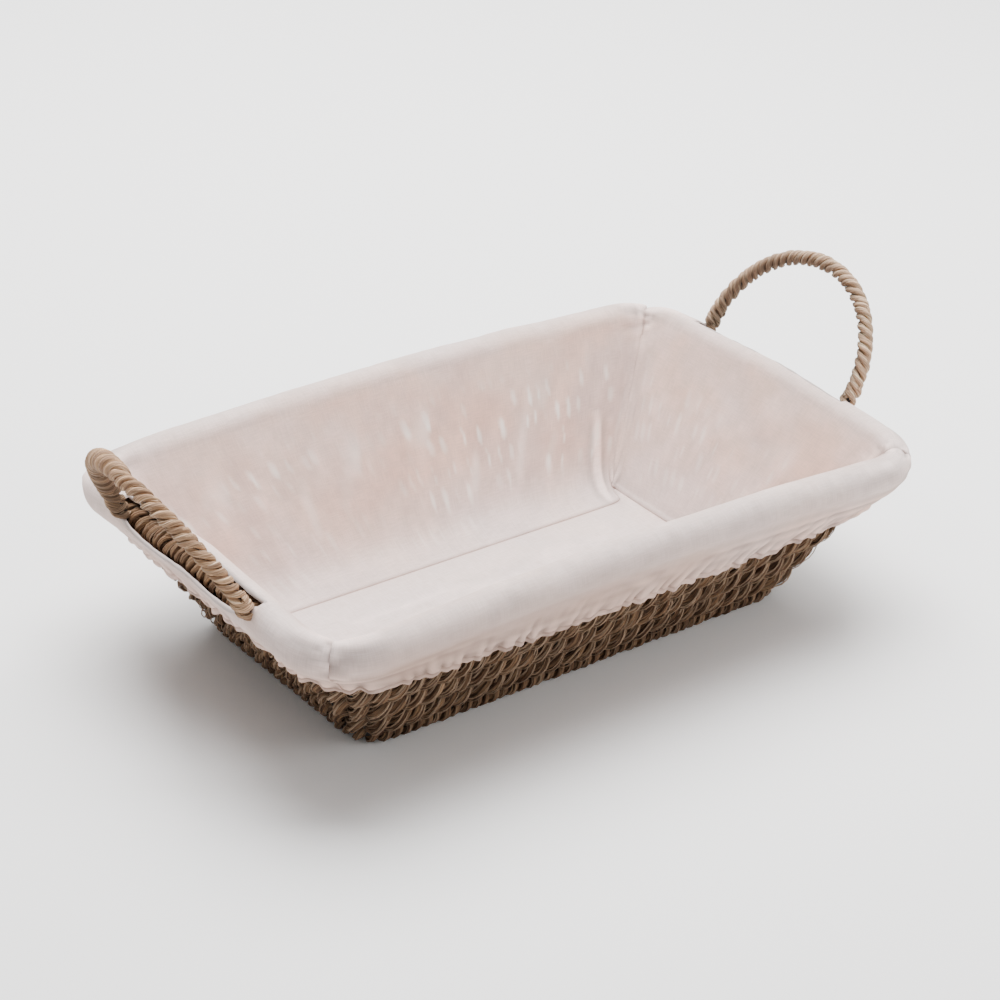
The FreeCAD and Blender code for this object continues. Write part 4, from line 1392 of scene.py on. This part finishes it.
def cloth_object(name, places, rounds, up, marks, keep=None):
    """A grid of points as a mesh, with its flat size as a UV map and marks for its finish as attributes."""
    rows, columns = places.shape[:2]
    index = np.arange(rows * columns).reshape(rows, columns)
    faces = np.stack([index[:-1, :-1], index[:-1, 1:], index[1:, 1:], index[1:, :-1]], -1)
    if keep is not None:
        faces = faces[keep]
    faces = faces.reshape(-1, 4)
    mesh = bpy.data.meshes.new(name)
    mesh.from_pydata(places.reshape(-1, 3).tolist(), [], faces.tolist())
    flat = np.stack([rounds, up], -1).reshape(-1, 2)
    layer = mesh.uv_layers.new(name="cloth")
    corners = np.empty(len(mesh.loops), int)
    mesh.loops.foreach_get("vertex_index", corners)
    layer.uv.foreach_set("vector", flat[corners].astype(np.float32).ravel())
    for mark, values in marks.items():
        layer = mesh.attributes.new(mark, "FLOAT", "POINT")
        layer.data.foreach_set("value", np.array(values, np.float32).ravel())
    mesh.shade_smooth()
    thing = bpy.data.objects.new(name, mesh)
    bpy.context.scene.collection.objects.link(thing)
    loose_free(mesh)
    return thing


def loose_free(mesh):
    """Take away points that no face uses."""
    shape = bmesh.new()
    shape.from_mesh(mesh)
    bmesh.ops.delete(shape, geom=[v for v in shape.verts if not v.link_faces], context="VERTS")
    shape.to_mesh(mesh)
    shape.free()


def thicken(thing, thickness):
    """Give a cloth its thickness on its hidden side."""
    solid = thing.modifiers.new("thickness", "SOLIDIFY")
    solid.thickness = thickness
    solid.offset = -1
    return thing


def unbroken(rounds, around):
    """Distances round the rim without the jump from the last point to the first."""
    middle = rounds[0, rounds.shape[1] // 2]
    return (rounds - middle + around / 2) % around + middle - around / 2


class BASKET_OT_liner(bpy.types.Operator):
    """Sew the liner: its four sides, its floor and its gathered hem"""
    bl_idname = "basket.liner"
    bl_label = "Cotton liner"
    casing_points = 15

    def execute(self, context):
        liner = Liner(context.scene.liner)
        cotton = cotton_finish()
        for side in SIDES:
            self.side_cloth(liner, side, cotton)
        self.floor(liner, cotton)
        self.casing(liner, cotton)
        return {"FINISHED"}

    def side_cloth(self, liner, side, cotton):
        """One side of the liner, with its slot where a handle comes through."""
        places, _, rounds, up, height = liner.worn(side)
        slot = self.slot(liner, side) if side in liner.slots else None
        keep = None
        if slot:
            keep = np.ones((places.shape[0] - 1, places.shape[1] - 1), bool)
            keep[slot[0]:slot[1], slot[2]] = False
        flat_round = unbroken(rounds, liner.around)
        marks = liner.marks(side, rounds, up, height)
        cloth = cloth_object("cloth_" + side, places, flat_round, up, marks, keep)
        coat(cloth, cotton)
        thicken(cloth, liner.settings.thickness)
        settle(cloth, ["liner_" + side])
        own, way = (liner.end, "half_width") if slot else (liner.side, "half_length")
        top, bottom = 2 * getattr(liner.rim, way), 2 * getattr(liner.floor, way)
        if slot:
            self.bind_slot(side, places, slot)

    def slot(self, liner, side):
        """The rows between which a slot lies, and whether each column is in it."""
        along = liner.columns(side)[1]
        middle = (along[:-1] + along[1:]) / 2
        low, high, _ = liner.slots[side]
        top = liner.wall_end + liner.steps[1]
        return top, top + liner.steps[2], (middle > low) & (middle < high)

    def bind_slot(self, side, places, slot):
        """Bind the edge of the opening that a handle comes through."""
        top, bottom, opened = slot
        open_columns = np.nonzero(opened)[0]
        left, right = open_columns[0], open_columns[-1] + 1
        border = [places[top, column] for column in range(left, right)]
        border += [places[row, right] for row in range(top, bottom)]
        border += [places[bottom, column] for column in range(right, left, -1)]
        border += [places[row, left] for row in range(bottom, top, -1)]
        outward = Vector((1 if side == "right" else -1, 0, 0.4)).normalized()
        binding = strands(
            "slot_binding_" + side, [(border, [outward] * len(border), True)],
            strands=1, strips=1, turns=0, strip_turns=0, reach_out=0.0, reach_up=0.0, strip_reach=0.0,
            half_width=1.1 * MM, half_thickness=0.9 * MM, unevenness=0.2 * MM, seed=801.0,
            step=1.2 * MM, material=cotton_finish(),
        )
        settle(binding)

    def floor(self, liner, cotton):
        """The floor of the liner. Its edge lies under the curved foot of the walls."""
        outline = liner.floor
        x, y = self.floor_grid(outline)
        edge = np.minimum(outline.half_length - np.abs(x), outline.half_width - np.abs(y))
        height = self.floor_folds(liner, x, y, edge)
        places = np.stack([x, y, outline.level + 0.17 * MM + height], -1)
        level = np.zeros(edge.shape)
        marks = {
            "glow": level,
            # The floor's tint rises toward the walls: the weave showing through, and painted bounce light
            # from the walls.
            "show_through_and_bounce": 0.12 + 0.25 * np.clip(1 - edge / (24 * MM), 0, 1),
            "shade": level,
            # Painted shade and highlights from the floor's folds.
            "relief": relief(height, 3),
        }
        cloth = cloth_object("cloth_floor", places, x, y, marks)
        coat(cloth, cotton)
        thicken(cloth, liner.settings.thickness)
        settle(cloth, ["liner_floor"])

    def floor_grid(self, outline):
        """A grid over the floor, drawn in to its rounded corners."""
        halves = (outline.half_length, outline.half_width)
        x, y = np.meshgrid(*(np.linspace(-half, half, round(half / MM)) for half in halves))
        over_x = np.abs(x) - (outline.half_length - outline.corner)
        over_y = np.abs(y) - (outline.half_width - outline.corner)
        far = np.hypot(np.clip(over_x, 0, None), np.clip(over_y, 0, None))
        outside = (over_x > 0) & (over_y > 0) & (far > outline.corner)
        pull = 1 - np.where(outside, outline.corner / np.maximum(far, 1e-9), 1)
        x = np.sign(x) * (np.abs(x) - np.clip(over_x, 0, None) * pull)
        y = np.sign(y) * (np.abs(y) - np.clip(over_y, 0, None) * pull)
        return x, y

    def floor_folds(self, liner, x, y, edge):
        """How far the floor stands up: soft waves inside, and folds that run out from its corners."""
        cells = 64
        inside = np.clip((edge - 1.1 * liner.settings.cove) / (24 * MM), 0, 1) ** 2
        slow = soft_noise(x / (24 * MM), y / (20 * MM), cells, 31)
        fine = soft_noise(x / (6 * MM), y / (5 * MM), cells, 32)
        crease = (1 - np.abs(soft_noise(x / (60 * MM), y / (22 * MM), cells, 33))) ** 9
        off_x, off_y = liner.floor.half_length - np.abs(x), liner.floor.half_width - np.abs(y)
        from_point = np.hypot(off_x, off_y)
        fading = np.exp(-from_point / (14 * MM)) * np.clip(from_point / (3 * MM), 0, 1)
        star = np.cos(np.arctan2(off_y, off_x) * 9) * fading
        return inside * (0.7 * (1 + slow) + 0.1 * fine + 0.2 * crease) * MM + 0.6 * MM * star

    def casing(self, liner, cotton):
        """The hem: a narrow casing gathered on its elastic."""
        rows = [liner.worn(side) for side in SIDES]
        line, normals, rounds = (np.concatenate([row[part][-1, :-1] for row in rows]) for part in (0, 1, 2))
        shades = [liner.marks(side, *row[2:])["shade"][-1, :-1] for side, row in zip(SIDES, rows)]
        heading = level_way(normals)
        inset, drop = liner.casing * 0.75, np.full(len(line), liner.casing * 0.9)
        centre = line - np.column_stack([heading * inset, drop])
        self.elastic(centre, normals)

        cells = round(liner.around / (3.6 * MM))
        gather = soft_noise(rounds / liner.around * cells, np.full(len(rounds), 0.3), cells, 41)
        radius = liner.casing * (1.05 + 0.28 * gather)
        turns = np.linspace(0, TURN, self.casing_points)
        out = np.cos(turns)[None, :, None] * radius[:, None, None] * heading[:, None, :]
        up = np.sin(turns)[None, :] * radius[:, None]
        places = centre[:, None, :] + np.concatenate([out, up[..., None]], -1)
        places = np.concatenate([places, places[:1]])
        shape = places.shape[:2]
        flat_round = np.concatenate([rounds - rounds[0], [liner.around]]) % (liner.around + 1e-9)
        flat_round = np.broadcast_to(flat_round[:, None], shape)
        flat_up = np.broadcast_to(turns * liner.casing, shape)
        marks = {
            "glow": np.zeros(shape),
            # The casing carries the weave's tint and its painted bounce light.
            "show_through_and_bounce": np.full(shape, 0.85),
            # Painted shade on the casing, the same as on the flap above it.
            "shade": self.all_round(np.concatenate(shades)),
            # Painted shade and highlights from the gathers.
            "relief": self.all_round(0.5 + 0.5 * gather),
        }
        cloth = cloth_object("hem_casing", places, flat_round, flat_up, marks)
        coat(cloth, cotton)
        settle(cloth, ["liner_hem"])

    def all_round(self, values):
        """Values along the hem, closed and given to every point round the casing."""
        return np.repeat(np.append(values, values[0])[:, None], self.casing_points, axis=1)

    def elastic(self, centre, normals):
        """The elastic cord in the middle of the casing."""
        cord = strands(
            "elastic_cord", [(centre, normals, True)], strands=3, strips=1, turns=120, strip_turns=0,
            reach_out=0.5 * MM, reach_up=0.5 * MM, strip_reach=0.0,
            half_width=0.55 * MM, half_thickness=0.55 * MM, unevenness=0.0, seed=901.0,
            step=1.5 * MM, section_points=6, material=elastic_finish(),
        )
        settle(cord, ["hem_elastic"])


class BASKET_OT_stitches(bpy.types.Operator):
    """Stitch the hem and tack the corners of the floor"""
    bl_idname = "basket.stitches"
    bl_label = "Stitches"
    hem_row = -3
    seam_rows = slice(2, 9)
    tack_row = 4
    tack_columns = slice(0, 5)

    def execute(self, context):
        liner = Liner(context.scene.liner)
        thread = thread_finish()
        sides = [liner.worn(side)[:2] for side in SIDES]
        lift = 0.15 * MM
        hem = [places[self.hem_row, :-1] + normals[self.hem_row, :-1] * lift for places, normals in sides]
        outside = [normals[self.hem_row, :-1] for _, normals in sides]
        line = (np.concatenate(hem), np.concatenate(outside), True)
        stitched = stitches("hem_stitches", [line], pitch=liner.settings.stitch, radius=0.28 * MM,
                            material=thread)
        settle(stitched)
        lines = [line for side in sides for line in self.tacks(*side)]
        tacked = stitches("corner_stitches", lines, pitch=2.4 * MM, radius=0.35 * MM, material=thread)
        settle(tacked)
        return {"FINISHED"}

    def tacks(self, places, normals):
        """The tack where a side's first seam meets the floor: one line up the seam and one across it."""
        spots = places + normals * 0.6 * MM
        for part in ((self.seam_rows, 0), (self.tack_row, self.tack_columns)):
            yield spots[part], normals[part], False


# ------------------------------------------------------------------ studio
class BASKET_OT_stage(bpy.types.Operator):
    """Set up the floor, the lights and the camera"""
    bl_idname = "basket.stage"
    bl_label = "Studio"

    def execute(self, context):
        studio = context.scene.studio
        self.floor(context, studio)
        self.lights(context, studio)
        self.camera(context, studio)
        return {"FINISHED"}

    def floor(self, context, studio):
        """A plain pale floor."""
        size = 6.0
        mesh = bpy.data.meshes.new("studio_floor")
        mesh.from_pydata([(-size, -size, 0), (size, -size, 0), (size, size, 0), (-size, size, 0)], [],
                         [(0, 1, 2, 3)])
        floor = bpy.data.objects.new("studio_floor", mesh)
        context.scene.collection.objects.link(floor)
        finish, tree, shader = new_finish("studio_floor")
        place_now = place(tree, "ShaderNodeTexCoord").outputs["Object"]
        cloud = place(tree, "ShaderNodeTexNoise", {"Vector": place_now, "Scale": 2.0}).outputs[0]
        tree.links.new(blend(tree, cloud, opaque(studio.floor, 0.99), opaque(studio.floor, 1.01)),
                       shader.inputs["Base Color"])
        shader.inputs["Roughness"].default_value = 0.9
        coat(floor, finish)

    def lights(self, context, studio):
        """A large soft light overhead, a weak one at the right front and an even surround."""
        for name, power, size, spot in (
            ("overhead", studio.key_power, 1.6, (0.35, 0.5, 1.5)),
            ("right_front", studio.fill_power, 0.8, (0.95, -1.05, 0.5)),
        ):
            lamp = bpy.data.lights.new(name, "AREA")
            lamp.energy = power
            lamp.size = size
            thing = bpy.data.objects.new(name, lamp)
            thing.location = spot
            thing.rotation_euler = (-Vector(spot)).to_track_quat("-Z", "Y").to_euler()
            context.scene.collection.objects.link(thing)
        world = bpy.data.worlds.new("pale_surround")
        world.use_nodes = True
        back = world.node_tree.nodes["Background"]
        back.inputs["Color"].default_value = (1.0, 0.995, 0.99, 1.0)
        back.inputs["Strength"].default_value = studio.sky
        context.scene.world = world

    def camera(self, context, studio):
        """A camera that looks down at the basket over its left front corner."""
        azimuth, elevation = studio.azimuth, studio.elevation
        back = Vector((math.sin(azimuth) * math.cos(elevation), -math.cos(azimuth) * math.cos(elevation),
                       math.sin(elevation)))
        right = Vector((math.cos(azimuth), math.sin(azimuth), 0))
        up = back.cross(right)
        cosine, sine = math.cos(studio.roll), math.sin(studio.roll)
        rolled_right = right * cosine + up * sine
        rolled_up = up * cosine - right * sine
        lens = bpy.data.cameras.new("camera")
        lens.lens = studio.focal
        lens.sensor_width = 36.0
        lens.shift_x, lens.shift_y = studio.shift
        thing = bpy.data.objects.new("camera", lens)
        turned = Matrix((rolled_right, rolled_up, back)).transposed().to_4x4()
        thing.matrix_world = Matrix.Translation(Vector(studio.target) + back * studio.distance) @ turned
        context.scene.collection.objects.link(thing)
        context.scene.camera = thing


# ------------------------------------------------------------------ panel and registration
OPERATORS = (
    BASKET_OT_wall, BASKET_OT_border, BASKET_OT_rim, BASKET_OT_base, BASKET_OT_handles, BASKET_OT_wires,
    BASKET_OT_liner, BASKET_OT_stitches, BASKET_OT_stage,
)
SETTINGS = {"seagrass": SeagrassSettings, "liner": LinerSettings, "studio": StudioSettings}


class BASKET_PT_build(bpy.types.Panel):
    """The steps that build the basket, with the sizes and colours that they use"""
    bl_idname = "BASKET_PT_build"
    bl_label = "Bread basket"
    bl_space_type = "VIEW_3D"
    bl_region_type = "UI"
    bl_category = "Basket"

    def draw(self, context):
        for name, group in SETTINGS.items():
            box = self.layout.box()
            box.label(text=name.capitalize())
            for setting in group.__annotations__:
                box.prop(getattr(context.scene, name), setting)
        for operator in OPERATORS:
            self.layout.operator(operator.bl_idname)


CLASSES = (*SETTINGS.values(), *OPERATORS, BASKET_PT_build)


def register():
    for kind in CLASSES:
        bpy.utils.register_class(kind)
    for name, group in SETTINGS.items():
        setattr(bpy.types.Scene, name, bpy.props.PointerProperty(type=group))


def unregister():
    for name in SETTINGS:
        delattr(bpy.types.Scene, name)
    for kind in reversed(CLASSES):
        bpy.utils.unregister_class(kind)


def main():
    """Build the basket."""
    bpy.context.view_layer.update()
    register()
    bpy.ops.basket.wall()
    bpy.ops.basket.border()
    bpy.ops.basket.rim()
    bpy.ops.basket.base()
    bpy.ops.basket.handles()
    bpy.ops.basket.wires()
    bpy.ops.basket.liner()
    bpy.ops.basket.stitches()
    bpy.ops.basket.stage()


if __name__ == "__main__":
    main()
